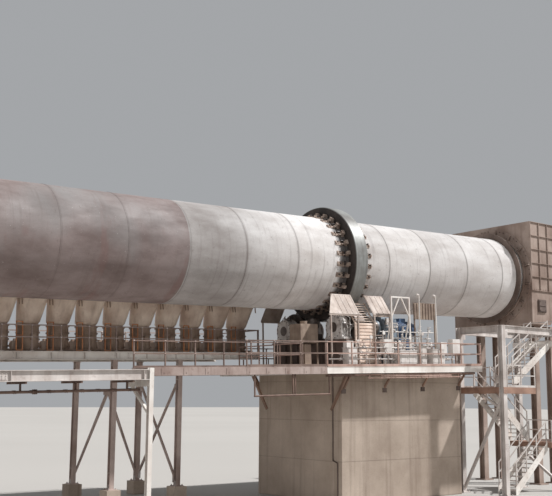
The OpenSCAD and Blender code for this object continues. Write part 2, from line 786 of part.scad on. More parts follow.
function fan_x(i) = fan_first - (i + 0.5) * fan_pitch;

// Round fan cases on square bases, with stiffening rings and a motor behind each
module fan_cases() {
    r = 225;
    color([0.45, 0.4, 0.37]) on_fan_deck() for (i = [0 : fans - 1])
        translate([fan_x(i), fan_y, seat]) {
            translate([-240, -240, 0]) cube([480, 480, 50]);
            translate([0, 0, 49]) cylinder(r = r, h = fan_case_h - 49 - seat, $fn = 48);
            for (z = [90, 230, 370, fan_case_h - 31]) translate([0, 0, z])
                cylinder(r = r + 22, h = 30 - seat, $fn = 48);
            translate([-110, 200, 49]) cube([220, 330, 190]);
            translate([0, 530, 160]) rotate([-90, 0, 0]) cylinder(r = 95, h = 200, $fn = 32);
        }
}

// Flared nozzles that turn the air on to the shell
module fan_nozzles() {
    lean = 330;
    top_w = fan_pitch - 14;
    color([0.6, 0.52, 0.45]) on_fan_deck() for (i = [0 : fans - 1])
        translate([fan_x(i), fan_y, fan_case_h + seat]) hull() {
            cylinder(r = 190, h = 10, $fn = 20);
            translate([0, 0, 70]) cylinder(r = 245, h = 20, $fn = 20);
            translate([-top_w / 2, -lean - 110, fan_nozzle_h - 30]) cube([top_w, 260, 30]);
        }
}

// Ladder-like service frames that stand between the fans behind the front rail
module fan_frames() {
    h = 600;
    w = 150;
    t = 20;
    color([0.68, 0.4, 0.24]) on_fan_deck() for (i = [1 : fans - 1])
        translate([fan_first - i * fan_pitch - w / 2, fan_deck_y + 50, seat]) {
            for (u = [0, w - t]) translate([u, 0, 0]) cube([t, t, h]);
            for (z = [0, h / 2, h - t]) translate([0, 0, z]) cube([w, t, t]);
        }
}

// Concrete plinths under the gallery's legs and the service posts
module post_plinths() {
    b = 320;
    color([0.5, 0.42, 0.37]) {
        for (i = FRAMES, y = [row_front, row_back])
            translate([frame_x(i) - b / 2, y - b / 2, 0]) cube([b, b, plinth_h]);
        for (x = service_post_x) translate([x - b / 2, deck_front + 45 - b / 2, 0]) cube([b, b, plinth_h]);
    }
}

// Stair tower beside the feed pier

post_b = 132;
tower_x = (feed_pier_up + deck_up) * cos(tilt) + edge_beam_h * sin(tilt) + post_b / 2 + seat;
tower_x2 = tower_x + tower_l;
tower_front = -2500;
tower_back = tower_front + tower_w;

module tower_posts() {
    beam_h = 170;
    color([0.78, 0.73, 0.72]) {
        for (x = [tower_x, tower_x2], y = [tower_front, tower_back]) translate([x, y, 0]) {
            translate([-130, -130, 0]) cube([260, 260, 20]);
            h_post(tower_h, post_b, 14);
        }
        for (y = [tower_front, tower_back]) translate([tower_x, y, tower_h]) beam_x(tower_l, 90, beam_h);
        for (x = [tower_x, tower_x2]) translate([x, tower_front, tower_h]) beam_y(tower_w, 90, beam_h);
        strut([tower_x, tower_front + 60, landing_h - 320], [tower_x, tower_back - 60, 120], 60);
        strut([tower_x2, tower_front + 60, 120], [tower_x2, tower_back - 60, mid_landing_h - 250], 60);
        strut([tower_x, tower_front + 60, landing_h - 520],
              [tower_x, tower_front + 640, landing_h - 172], 50);
    }
}

landing_x = [tower_x - post_b / 2, tower_x + 1165];
landing_back = -650;
landing_front = tower_front - 75;
tower_end = tower_x2 + 75;

// A deck plate with its edge channels, hung between x and y limits, its top at z
module landing(x, y, z, skirt) {
    translate([x[0], y[0], z - 30]) cube([x[1] - x[0], y[1] - y[0], 30]);
    for (u = [x[0], x[1] - 30]) translate([u, y[0], z - skirt]) cube([30, y[1] - y[0], skirt]);
    for (v = [y[0], y[1] - 30]) translate([x[0], v, z - skirt]) cube([x[1] - x[0], 30, skirt]);
}

module post_notch(x, y) {
    b = post_b + 2 * seat;
    translate([x - b / 2, y - b / 2, 0]) cube([b, b, tower_h + 10]);
}

mid_x = tower_x + 1720;
flight2_y = landing_front + 120 + flight_w + 20;
flight2_top_x = tower_x + 260;
top_x = tower_x + 1960;

module stair_landings() {
    color([0.66, 0.56, 0.52]) difference() {
        union() {
            landing(landing_x, [landing_front, landing_back], landing_h, 150);
            landing([mid_x, tower_end], [landing_front, flight2_y + flight_w + 60], mid_landing_h, 130);
            landing([top_x, tower_end], [landing_front, flight2_y + flight_w + 60], top_landing_h, 130);
        }
        for (x = [tower_x, tower_x2], y = [tower_front, tower_back]) post_notch(x, y);
        translate([flight2_top_x, flight2_y - 20, landing_h - 200]) cube([tower_l, flight_w + 40, 300]);
    }
}

stringer_h = 190;

// A flight that rises over run along +X from the origin: two stringers and their treads
module flight(run, rise) {
    treads = max(2, round(rise / 100));
    for (y = [0, flight_w - plate]) translate([0, y, 0]) sweep_y(plate)
        polygon([[0, 0], [60, 0], [run, rise - stringer_h], [run, rise], [0, stringer_h]]);
    for (i = [1 : treads - 1])
        translate([i * run / treads - 50, 1, i * rise / treads - 4]) cube([100, flight_w - 2, 14]);
}

// A rail over one stringer: posts cut to its slope and two bars along it
module flight_rail(run, rise) {
    bays = 3;
    grade = (rise - stringer_h) / run;
    clear = seat * 1.4;
    function line(u) = stringer_h + u * grade;
    sweep_y(bar) {
        for (h = [rail_h, rail_h * 0.55])
            polygon([[20, line(20) + h - bar], [20, line(20) + h], [run - 20, line(run - 20) + h],
                     [run - 20, line(run - 20) + h - bar]]);
        for (i = [0 : bays]) let (u = 20 + i * (run - 40 - bar) / bays)
            polygon([[u, line(u) + clear], [u + bar, line(u + bar) + clear],
                     [u + bar, line(u + bar) + rail_h - 2], [u, line(u) + rail_h - 2]]);
    }
}

module both_rails(run, rise) {
    for (y = [0, flight_w - bar]) translate([0, y, 0]) flight_rail(run, rise);
}

lower_run = 1290;
upper_x = tower_x + 430;
lower_rise = mid_landing_h - 4;
middle_run = mid_x - flight2_top_x - 2 * seat;
middle_rise = landing_h - mid_landing_h - 4;
upper_run = top_x - upper_x - seat;
upper_rise = top_landing_h - landing_h - 4;

module at_lower_flight() {
    translate([mid_x - seat - lower_run, landing_front + 120, 0]) children();
}

module at_middle_flight() {
    translate([mid_x - seat, flight2_y, mid_landing_h + seat]) mirror([1, 0, 0]) children();
}

module at_upper_flight() {
    translate([upper_x, landing_front + 130, landing_h + seat]) children();
}

module lower_flight() {
    color([0.82, 0.76, 0.73]) at_lower_flight() flight(lower_run, lower_rise);
}

module middle_flight() {
    color([0.82, 0.76, 0.73]) at_middle_flight() flight(middle_run, middle_rise);
}

module upper_flight() {
    color([0.82, 0.76, 0.73]) at_upper_flight() flight(upper_run, upper_rise);
}

module stair_rails() {
    inset = 3;
    past_post = 76;
    past_deck = 8;
    landing_w = landing_x[1] - landing_x[0];
    end_w = tower_end - mid_x;
    color([0.8, 0.72, 0.66]) {
        at_lower_flight() both_rails(lower_run, lower_rise);
        at_middle_flight() both_rails(middle_run, middle_rise);
        at_upper_flight() both_rails(upper_run, upper_rise);
        translate([landing_x[0] + past_deck, landing_back - inset - bar, landing_h])
            rail_x(landing_w - past_deck - inset);
        translate([tower_x + past_post, landing_front + inset, landing_h])
            rail_x(landing_x[1] - tower_x - past_post - inset);
        translate([landing_x[1] - inset - bar, flight2_y + flight_w + 40, landing_h])
            rail_y(landing_back - inset - bar - 1 - flight2_y - flight_w - 40);
        translate([landing_x[0] + past_deck, tower_back + past_post, landing_h])
            rail_y(landing_back - inset - bar - 1 - tower_back - past_post);
        for (z = [mid_landing_h, top_landing_h])
            translate([tower_end - inset - bar, tower_front + past_post, z])
                rail_y(flight2_y + flight_w - tower_front - past_post);
        translate([mid_x + 20, landing_front + inset, mid_landing_h]) rail_x(end_w - 20 - 152);
        translate([top_x + 20, landing_front + inset, top_landing_h])
            rail_x(end_w - (top_x - mid_x) - 20 - 152);
    }
}

// Feed end

chamber_x = feed_overhang * cos(tilt) - 130;
chamber_floor = 4250;
chamber_top = 7050;
chamber_axis = axis_h + chamber_x * tan(tilt);
seal_r = shell_r + 60;

// Hollow chamber round the kiln's end, open where the shell enters and at its roof
module feed_chamber() {
    wall = 60;
    slope_l = 700;
    chamber_end = chamber_x + chamber_l;
    color([0.66, 0.62, 0.59]) translate([0, -chamber_w / 2, 0]) difference() {
        sweep_y(chamber_w)
            polygon([[chamber_x, chamber_floor], [chamber_x + chamber_l - slope_l, chamber_floor],
                     [chamber_end, chamber_floor + 900], [chamber_end, chamber_top],
                     [chamber_x, chamber_top]]);
        translate([0, wall, 0]) sweep_y(chamber_w - 2 * wall)
            polygon([[chamber_x + wall, chamber_floor + wall],
                     [chamber_x + chamber_l - slope_l - 20, chamber_floor + wall],
                     [chamber_end - wall, chamber_floor + 930],
                     [chamber_end - wall, chamber_top - wall],
                     [chamber_x + wall, chamber_top - wall]]);
        translate([chamber_x + 250, 500, chamber_top - 100]) cube([chamber_l - 500, chamber_w - 1000, 200]);
        translate([chamber_x - 10, chamber_w / 2, chamber_axis]) along_x()
            cylinder(r = seal_r, h = wall + 30, $fn = 160);
    }
}

// Bolted flange with curved ribs round the kiln's entry
module chamber_flange() {
    ribs = 16;
    t = 40;
    r1 = shell_r + 276;
    color([0.5, 0.45, 0.42]) translate([chamber_x - seat, 0, chamber_axis]) {
        translate([-t, 0, 0]) ring_x([[seal_r, 0], [r1, 0], [r1, t], [seal_r, t]]);
        translate([-t - 60, 0, 0]) ring_x([[seal_r, 0], [seal_r + 40, 0], [seal_r + 40, 61], [seal_r, 61]]);
        for (i = [0 : ribs - 1]) rotate([(i + 0.5) * 360 / ribs, 0, 0])
            translate([-t - 50, -9, seal_r + 20]) cube([51, 18, r1 - seal_r - 30]);
    }
}

module housing_stand(x, l, w, h, b) {
    for (u = [x + b, x + l - b], s = SIDES) translate([u, s * (w / 2 - b), 0]) {
        translate([-b, -b, 0]) cube([2 * b, 2 * b, 24]);
        h_post(h, b, 14);
    }
    for (s = SIDES) translate([x, s * (w / 2 - b), h]) beam_x(l, b, 200);
    for (u = [x + b, x + l - b]) translate([u, -w / 2 + b, h]) beam_y(w - 2 * b, b, 200);
}

module chamber_stand() {
    b = 180;
    color([0.6, 0.52, 0.5])
        housing_stand(chamber_x + 420, chamber_l - 420, chamber_w - 500, chamber_floor - seat, b);
}

// Discharge end

hood_x = shell_start * cos(tilt) + 300;
hood_axis = axis_h + hood_x * tan(tilt);
hood_floor = 3000;
hood_top = 6500;
hood_seal_r = shell_r + 100;

module discharge_hood() {
    wall = 60;
    burner_r = 260;
    color([0.66, 0.62, 0.59]) translate([hood_x - hood_l, -hood_w / 2, 0]) difference() {
        sweep_y(hood_w) polygon([[0, hood_floor], [hood_l, hood_floor], [hood_l, hood_top - 300],
                                 [hood_l - 300, hood_top], [300, hood_top], [0, hood_top - 500]]);
        translate([0, wall, 0]) sweep_y(hood_w - 2 * wall)
            polygon([[wall, hood_floor - 1], [hood_l - wall, hood_floor - 1],
                     [hood_l - wall, hood_top - 330], [hood_l - 330, hood_top - wall],
                     [330, hood_top - wall], [wall, hood_top - 530]]);
        translate([hood_l - 90, hood_w / 2, hood_axis]) along_x()
            cylinder(r = hood_seal_r, h = 200, $fn = 160);
        translate([-10, hood_w / 2, hood_axis]) along_x() cylinder(r = burner_r, h = 100);
    }
}

module hood_stand() {
    color([0.6, 0.52, 0.5]) housing_stand(hood_x - hood_l, hood_l, hood_w, hood_floor - seat, 180);
}

shell(shell_start, seam_below(course_count));  // shell_discharge_end
shell(seam_below(course_count), seam_below(4));  // shell_lower_run
shell(seam_below(4), seam_below(0));  // shell_upper_run
shell(seam_below(0), feed_overhang);  // shell_feed_end
kiln_lining();
tyre(FEED);  // feed_tyre
tyre(DISCHARGE);  // discharge_tyre
tyre_pads(FEED);  // feed_tyre_pads
tyre_pads(DISCHARGE);  // discharge_tyre_pads
feed_seal_ring();
nose_ring();
roller(FEED, -1, drive_stub);  // feed_roller_front
roller(FEED, 1);  // feed_roller_rear
roller(DISCHARGE, -1);  // discharge_roller_front
roller(DISCHARGE, 1);  // discharge_roller_rear
bearings(FEED);  // feed_bearings
bearings(DISCHARGE);  // discharge_bearings
base_frame(FEED);  // feed_base_frame
base_frame(DISCHARGE);  // discharge_base_frame
heat_shields(FEED, SIDES);  // feed_heat_shields
heat_shields(DISCHARGE, SIDES);  // discharge_heat_shields
drive_screen();
roller_guard();
thrust_roller();
drive_reducer();
drive_motor();
pier(FEED, feed_pier_up);  // feed_pier
pier(DISCHARGE, discharge_pier_up);  // discharge_pier
platform(FEED, feed_pier_up);  // feed_platform
platform(DISCHARGE, discharge_pier_up);  // discharge_platform
platform_rails(FEED, feed_pier_up, 0, true);  // feed_platform_rails
platform_rails(DISCHARGE, discharge_pier_up, 1, false);  // discharge_platform_rails
hoist_frame();
light_poles();
control_cabinets();
oil_unit();
service_walkway();
walkway_rails();
service_girder();
service_posts();
water_pipes();
gallery_deck();
gallery_rails();
gallery_legs();
fan_cases();
fan_nozzles();
fan_frames();
post_plinths();
tower_posts();  // stair_tower_posts
stair_landings();
lower_flight();
middle_flight();
upper_flight();
stair_rails();
feed_chamber();
chamber_flange();
chamber_stand();
discharge_hood();
hood_stand();
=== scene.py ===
"""Looks of the 1:2 rotary kiln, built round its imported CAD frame. Metres, Z up, origin under the feed tyre."""
import json
import math
from itertools import product

import bpy
import bmesh
from mathutils import Matrix, Vector


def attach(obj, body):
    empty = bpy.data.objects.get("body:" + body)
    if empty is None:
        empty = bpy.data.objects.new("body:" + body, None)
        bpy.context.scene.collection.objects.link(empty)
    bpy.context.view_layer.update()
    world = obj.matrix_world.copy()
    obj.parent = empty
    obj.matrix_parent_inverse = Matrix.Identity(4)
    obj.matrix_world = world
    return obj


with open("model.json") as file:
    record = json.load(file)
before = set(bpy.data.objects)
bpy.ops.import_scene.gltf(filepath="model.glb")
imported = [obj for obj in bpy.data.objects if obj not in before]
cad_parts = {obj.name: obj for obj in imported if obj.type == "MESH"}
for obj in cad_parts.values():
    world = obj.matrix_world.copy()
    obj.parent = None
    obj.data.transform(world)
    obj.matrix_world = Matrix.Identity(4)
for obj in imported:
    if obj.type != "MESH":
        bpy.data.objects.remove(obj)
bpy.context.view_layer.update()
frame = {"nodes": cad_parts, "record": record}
scene = bpy.context.scene


# Sizes shared with the CAD part

SIDES = (-1, 1)
SLOPE = 0.03
TILT = math.atan(SLOPE)
AXIS_H = 5.4  # kiln axis over the ground at the feed tyre
SPAN = 15.0  # from tyre to tyre
STATIONS = (("feed", 0.0, 3.105), ("discharge", -SPAN, 1.1))  # name, x of its tyre, its pier's reach uphill

SHELL_R, TYRE_R, ROLLER_R = 1.1, 1.37, 0.425
PADS = 28
SEAM_DOWN, SEAM_LOW, COURSES = 1.67, 0.62, 9
COURSE = (SPAN - SEAM_DOWN - SEAM_LOW) / COURSES
BROWN_END = -4.53  # along the axis, where the brown courses end

REACH = TYRE_R + ROLLER_R + 0.0003
ROLLER_Y, ROLLER_Z = REACH * math.sin(math.radians(30)), -REACH * math.cos(math.radians(30))
BEARING_L = 0.25
BEARING_X = 0.22 + 0.045 + BEARING_L / 2
HOUSING_R, HOUSING_FOOT = 0.245, -0.275
DRIVE_X = BEARING_X + BEARING_L / 2 + 0.02 + 0.19 + 0.006

PIER_DOWN, PIER_Y = 0.765, 1.475  # pier's reach downhill and half its width
DECK_DROP, DECK_BELLY = 2.46, 0.152  # platform deck below the axis, depth of its edge beams
DECK_DOWN, DECK_OVER, DECK_Y = 1.6, 0.3, 1.95  # its reach downhill, past the pier uphill, and half its width
RAIL_BAR, RAIL_INSET = 0.024, 0.008
SERVICE_PIPES_Y = (-1.75, -1.67)

FAN_DECK_H, FAN_DECK_BELLY, FAN_DECK_Y = 3.35, 0.18, (1.2, 3.1)
FANS, FAN_PITCH, FAN_FIRST, FAN_Y, FAN_NECK = 18, 0.665, 1.036, 1.62, 0.545
LEG_X = [-3.2 - (i // 2) * 4.95 - (i % 2) * 1.65 for i in range(5)]

CHAMBER_X = 6.42 * math.cos(TILT) - 0.13
HOOD_X = -20 * math.cos(TILT) + 0.3
HOUSING_L = 1.5
TOWER_X, TOWER_L = 3.405 * math.cos(TILT) + 0.15 * math.sin(TILT) + 0.0664, 2.3


# Places

def T(*v):
    return Matrix.Translation(v)


def R(degrees, axis):
    return Matrix.Rotation(math.radians(degrees), 4, axis)


def spread(a, b, n):
    """n places from a to b, both ends included."""
    return [a + i * (b - a) / (n - 1) for i in range(n)]


def axis_z(x):
    return AXIS_H + x * SLOPE


def deck_z(x):
    return axis_z(x) - DECK_DROP / math.cos(TILT)


def sloping(x, z):
    """A frame at x, z whose X runs up the kiln's slope."""
    return T(x, 0, z) @ Matrix.Rotation(-TILT, 4, "Y")


def on_axis(x=0.0):
    return sloping(x, axis_z(x))


def on_deck(x=0.0):
    return sloping(x, deck_z(x))


def on_fan_deck():
    return sloping(0, FAN_DECK_H)


# Materials. Colours are sRGB, 0 to 255.

def srgb(r, g, b):
    return tuple(((v / 255 + 0.055) / 1.055) ** 2.4 if v > 10 else v / 3294.6 for v in (r, g, b))


class Graph:
    """A material's nodes, with short calls for the few kinds in use."""

    def __init__(self, name):
        self.mat = bpy.data.materials.new(name)
        self.mat.use_nodes = True
        self.nt = self.mat.node_tree
        self.bsdf = self.nt.nodes["Principled BSDF"]
        self.coord = self.nt.nodes.new("ShaderNodeTexCoord").outputs["Object"]

    def link(self, a, b):
        self.nt.links.new(a, b)

    def axis(self, i):
        n = self.nt.nodes.new("ShaderNodeSeparateXYZ")
        self.link(self.coord, n.inputs[0])
        return n.outputs[i]

    def noise(self, scale, detail=4.0, rough=0.55, stretch=(1, 1, 1)):
        mapping = self.nt.nodes.new("ShaderNodeMapping")
        mapping.inputs["Scale"].default_value = stretch
        self.link(self.coord, mapping.inputs["Vector"])
        n = self.nt.nodes.new("ShaderNodeTexNoise")
        n.inputs["Scale"].default_value = scale
        n.inputs["Detail"].default_value = detail
        n.inputs["Roughness"].default_value = rough
        self.link(mapping.outputs["Vector"], n.inputs["Vector"])
        return n.outputs["Fac"]

    def step(self, value, lo, hi, a=0.0, b=1.0):
        """a where value is below lo, b above hi, and even in between."""
        n = self.nt.nodes.new("ShaderNodeMapRange")
        n.clamp = True
        for key, v in zip(("From Min", "From Max", "To Min", "To Max"), (lo, hi, a, b)):
            n.inputs[key].default_value = v
        self.link(value, n.inputs["Value"])
        return n.outputs["Result"]

    def spots(self, most, lo, hi, *noise):
        """A mask from noise: 0 below lo, most above hi."""
        return self.step(self.noise(*noise), lo, hi, 0.0, most)

    def math(self, op, a, b=0.0):
        n = self.nt.nodes.new("ShaderNodeMath")
        n.operation = op
        for socket, v in zip(n.inputs, (a, b)):
            if isinstance(v, (int, float)):
                socket.default_value = v
            else:
                self.link(v, socket)
        return n.outputs[0]

    def plus(self, a, b):
        return self.math("ADD", a, b)

    def minus(self, a, b):
        return self.math("SUBTRACT", a, b)

    def times(self, a, b):
        return self.math("MULTIPLY", a, b)

    def along(self, level):
        """Way up the slope from the point at that level over the origin."""
        up = self.times(self.minus(self.axis(2), level), math.sin(TILT))
        return self.plus(self.times(self.axis(0), math.cos(TILT)), up)

    def rise(self, level):
        """Height over the slope that passes through that point."""
        up = self.times(self.minus(self.axis(2), level), math.cos(TILT))
        return self.minus(up, self.times(self.axis(0), math.sin(TILT)))

    def mix(self, fac, a, b):
        """From a to b, each a colour or a socket."""
        n = self.nt.nodes.new("ShaderNodeMix")
        n.data_type = "RGBA"
        self.link(fac, n.inputs[0])
        for socket, v in zip([s for s in n.inputs if s.type == "RGBA"], (a, b)):
            if isinstance(v, tuple):
                socket.default_value = (*srgb(*v), 1.0)
            else:
                self.link(v, socket)
        return [o for o in n.outputs if o.type == "RGBA"][0]

    def finish(self, colour, rough, metal=0.0, bump=None, height=0.004, chalky=0.0):
        self.link(colour, self.bsdf.inputs["Base Color"])
        self.bsdf.inputs["Diffuse Roughness"].default_value = chalky
        if isinstance(rough, float):
            self.bsdf.inputs["Roughness"].default_value = rough
        else:
            self.link(rough, self.bsdf.inputs["Roughness"])
        self.bsdf.inputs["Metallic"].default_value = metal
        if bump is not None:
            n = self.nt.nodes.new("ShaderNodeBump")
            n.inputs["Strength"].default_value = 0.6
            n.inputs["Distance"].default_value = height
            self.link(bump, n.inputs["Height"])
            self.link(n.outputs["Normal"], self.bsdf.inputs["Normal"])
        return self.mat


DOWN = (9, 9, 0.6)  # stretches a noise into runs down a wall


def weathered(name, light, dark, dirt, rough, metal=0.0, patch=1.3, streak=0.45, spots=0.35, height=0.003):
    """Paint or steel with soft patches, dirt that runs down, rust spots and a fine grain."""
    g = Graph(name)
    col = g.mix(g.step(g.noise(patch, 5), 0.38, 0.66), light, dark)
    col = g.mix(g.spots(streak, 0.52, 0.74, 1.0, 4, 0.55, DOWN), col, dirt)
    rust = g.spots(spots, 0.58, 0.7, 7.0, 6, 0.7)
    col = g.mix(rust, col, dirt)
    fine = g.noise(60.0, 3)
    col = g.mix(g.step(fine, 0.3, 0.7, 0.0, 0.18), col, dark)
    worn = g.step(g.noise(5.0, 3), 0.3, 0.7, rough - 0.1, min(1.0, rough + 0.15))
    return g.finish(col, worn, metal, g.plus(g.times(rust, 0.6), g.times(fine, 0.35)), height)


def shell_material():
    """Heat-faded paint, course by course: brown low down, paler towards the feed tyre, scaled and streaked, with
    a band of grease and painted tyre shadow just downhill of each tyre.
    """
    g = Graph("shell")
    along = g.along(AXIS_H)
    course = g.math("DIVIDE", g.plus(along, SEAM_DOWN), COURSE)

    fade = g.noise(0.9, 5, 0.6, (1, 2.2, 2.2))
    soft = g.step(fade, 0.36, 0.68)
    grey = g.mix(soft, (202, 199, 197), (166, 160, 157))
    white = g.mix(soft, (246, 243, 241), (218, 212, 208))
    pale = g.mix(g.step(along, -3.4, -1.5), grey, white)
    brown = g.mix(soft, (158, 143, 140), (118, 101, 97))
    brown = g.mix(g.spots(0.55, 0.5, 0.66, 0.55, 3, 0.5, (1, 0.6, 0.6)), brown, (160, 163, 163))
    brown = g.mix(g.spots(0.4, 0.58, 0.7, 1.7, 4, 0.6, (1.6, 0.5, 0.5)), brown, (136, 98, 92))
    col = g.mix(g.step(along, BROWN_END - 0.005, BROWN_END + 0.005), brown, pale)

    tone = g.math("FRACT", g.times(g.math("FLOOR", course), 0.618))
    col = g.mix(g.step(tone, 0.0, 1.0, 0.0, 0.22), col, (128, 114, 108))
    from_seam = g.math("ABSOLUTE", g.minus(g.math("FRACT", g.plus(course, 0.5)), 0.5))
    clear = g.step(along, -4.6, -4.4, 0.35, 1.0)
    col = g.mix(g.times(g.step(from_seam, 0.004, 0.04, 0.2, 0.0), clear), col, (104, 88, 82))
    col = g.mix(g.times(g.step(from_seam, 0.004, 0.008, 0.6, 0.0), clear), col, (84, 70, 64))

    # Just downhill of each tyre, a dark band on the shell: grease and dirt, together with the tyre's cast shadow
    # painted on.
    for x in (0.0, -SPAN):
        edge = g.plus(along, g.times(g.noise(9.0, 4, 0.7), 0.16))
        grime_and_tyre_shadow = g.times(g.step(edge, x - 0.42, x - 0.3, 0.0, 0.85), g.step(along, x + 0.18, x + 0.2, 1.0, 0.0))
        col = g.mix(grime_and_tyre_shadow, col, (44, 36, 33))
    col = g.mix(g.spots(0.3, 0.54, 0.74, 1.5, 5, 0.6, (9, 0.5, 0.5)), col, (110, 92, 86))
    flake = g.spots(0.4, 0.6, 0.68, 9.0, 7, 0.75)
    col = g.mix(flake, col, (98, 80, 72))
    col = g.mix(g.spots(0.6, 0.66, 0.71, 24.0, 5, 0.7), col, (222, 218, 214))
    fine = g.noise(55.0, 3)
    col = g.mix(g.step(fine, 0.3, 0.7, 0.0, 0.16), col, (104, 90, 84))
    return g.finish(col, g.step(fade, 0.3, 0.7, 0.6, 0.85), 0.0, g.plus(g.times(flake, -0.5), fine), 0.002, 0.9)


def concrete_material():
    """Cast concrete with board joints, pits and long dark runs from the top."""
    g = Graph("concrete")
    col = g.mix(g.step(g.noise(0.8, 6, 0.6), 0.35, 0.68), (204, 188, 173), (170, 153, 138))
    joint = g.step(g.math("FRACT", g.times(g.axis(2), 1.15)), 0.0, 0.03, 1.0, 0.0)
    col = g.mix(g.times(joint, 0.35), col, (92, 78, 68))
    col = g.mix(g.spots(0.6, 0.52, 0.74, 1.0, 5, 0.6, (4.5, 4.5, 0.22)), col, (128, 108, 94))
    pits = g.spots(0.5, 0.6, 0.72, 34.0, 4, 0.7)
    col = g.mix(pits, col, (98, 84, 74))
    fine = g.noise(90.0, 3)
    col = g.mix(g.step(fine, 0.3, 0.7, 0.0, 0.15), col, (120, 104, 92))
    return g.finish(col, 0.88, 0.0, g.minus(fine, g.plus(g.times(joint, 1.5), g.times(pits, 1.2))), 0.004, 0.8)


def tyre_material():
    """Dark, greasy sides and a running surface that the rollers keep bright."""
    g = Graph("tyre_running_steel")
    rise = g.rise(AXIS_H)
    reach = g.math("SQRT", g.plus(g.times(g.axis(1), g.axis(1)), g.times(rise, rise)))
    patches = g.step(g.noise(2.4, 5), 0.36, 0.68)
    side = g.mix(patches, (72, 64, 60), (46, 40, 37))
    worn = g.mix(patches, (150, 152, 149), (112, 110, 107))
    worn = g.mix(g.spots(0.5, 0.5, 0.72, 3.0, 4, 0.6, (14, 0.4, 0.4)), worn, (84, 78, 74))
    bright = g.step(reach, TYRE_R - 0.018, TYRE_R - 0.006)
    return g.finish(g.mix(bright, side, worn), g.step(bright, 0.0, 1.0, 0.7, 0.42), 0.2, patches, 0.002)


def deck_material(name, level, belly):
    """Walked-on plate on top, worn white paint on the edge beams, and a brown on what hangs below them that is
    partly rust and partly painted shade under the deck.
    """
    g = Graph(name)
    rise = g.rise(level)
    patches = g.step(g.noise(1.5, 5), 0.36, 0.66)
    top = g.mix(patches, (176, 160, 150), (136, 120, 110))
    edge = g.mix(patches, (232, 228, 222), (208, 198, 190))
    low = g.mix(patches, (158, 128, 110), (112, 86, 72))
    col = g.mix(g.step(rise, -0.014, -0.006), edge, top)
    # Below the edge beams: rust brown, together with painted shade under the deck.
    col = g.mix(g.step(rise, -belly - 0.006, -belly, 1.0, 0.0), col, low)
    col = g.mix(g.spots(0.35, 0.55, 0.76, 1.0, 4, 0.55, DOWN), col, (128, 98, 80))
    rust = g.spots(0.4, 0.6, 0.72, 7.0, 6, 0.7)
    return g.finish(g.mix(rust, col, (116, 84, 66)), 0.6, 0.0, rust, 0.003)


def landing_material():
    """Rust brown on the lower landings and their frames, worn white paint on the top one."""
    g = Graph("landing_paint")
    patches = g.step(g.noise(1.6, 5), 0.38, 0.66)
    top = g.mix(patches, (238, 234, 228), (206, 196, 188))
    low = g.mix(patches, (168, 134, 116), (122, 92, 78))
    col = g.mix(g.step(g.axis(2), 3.0, 3.1), low, top)
    rust = g.spots(0.4, 0.58, 0.7, 7.0, 6, 0.7)
    return g.finish(g.mix(rust, col, (104, 74, 58)), 0.6, 0.0, rust, 0.003)


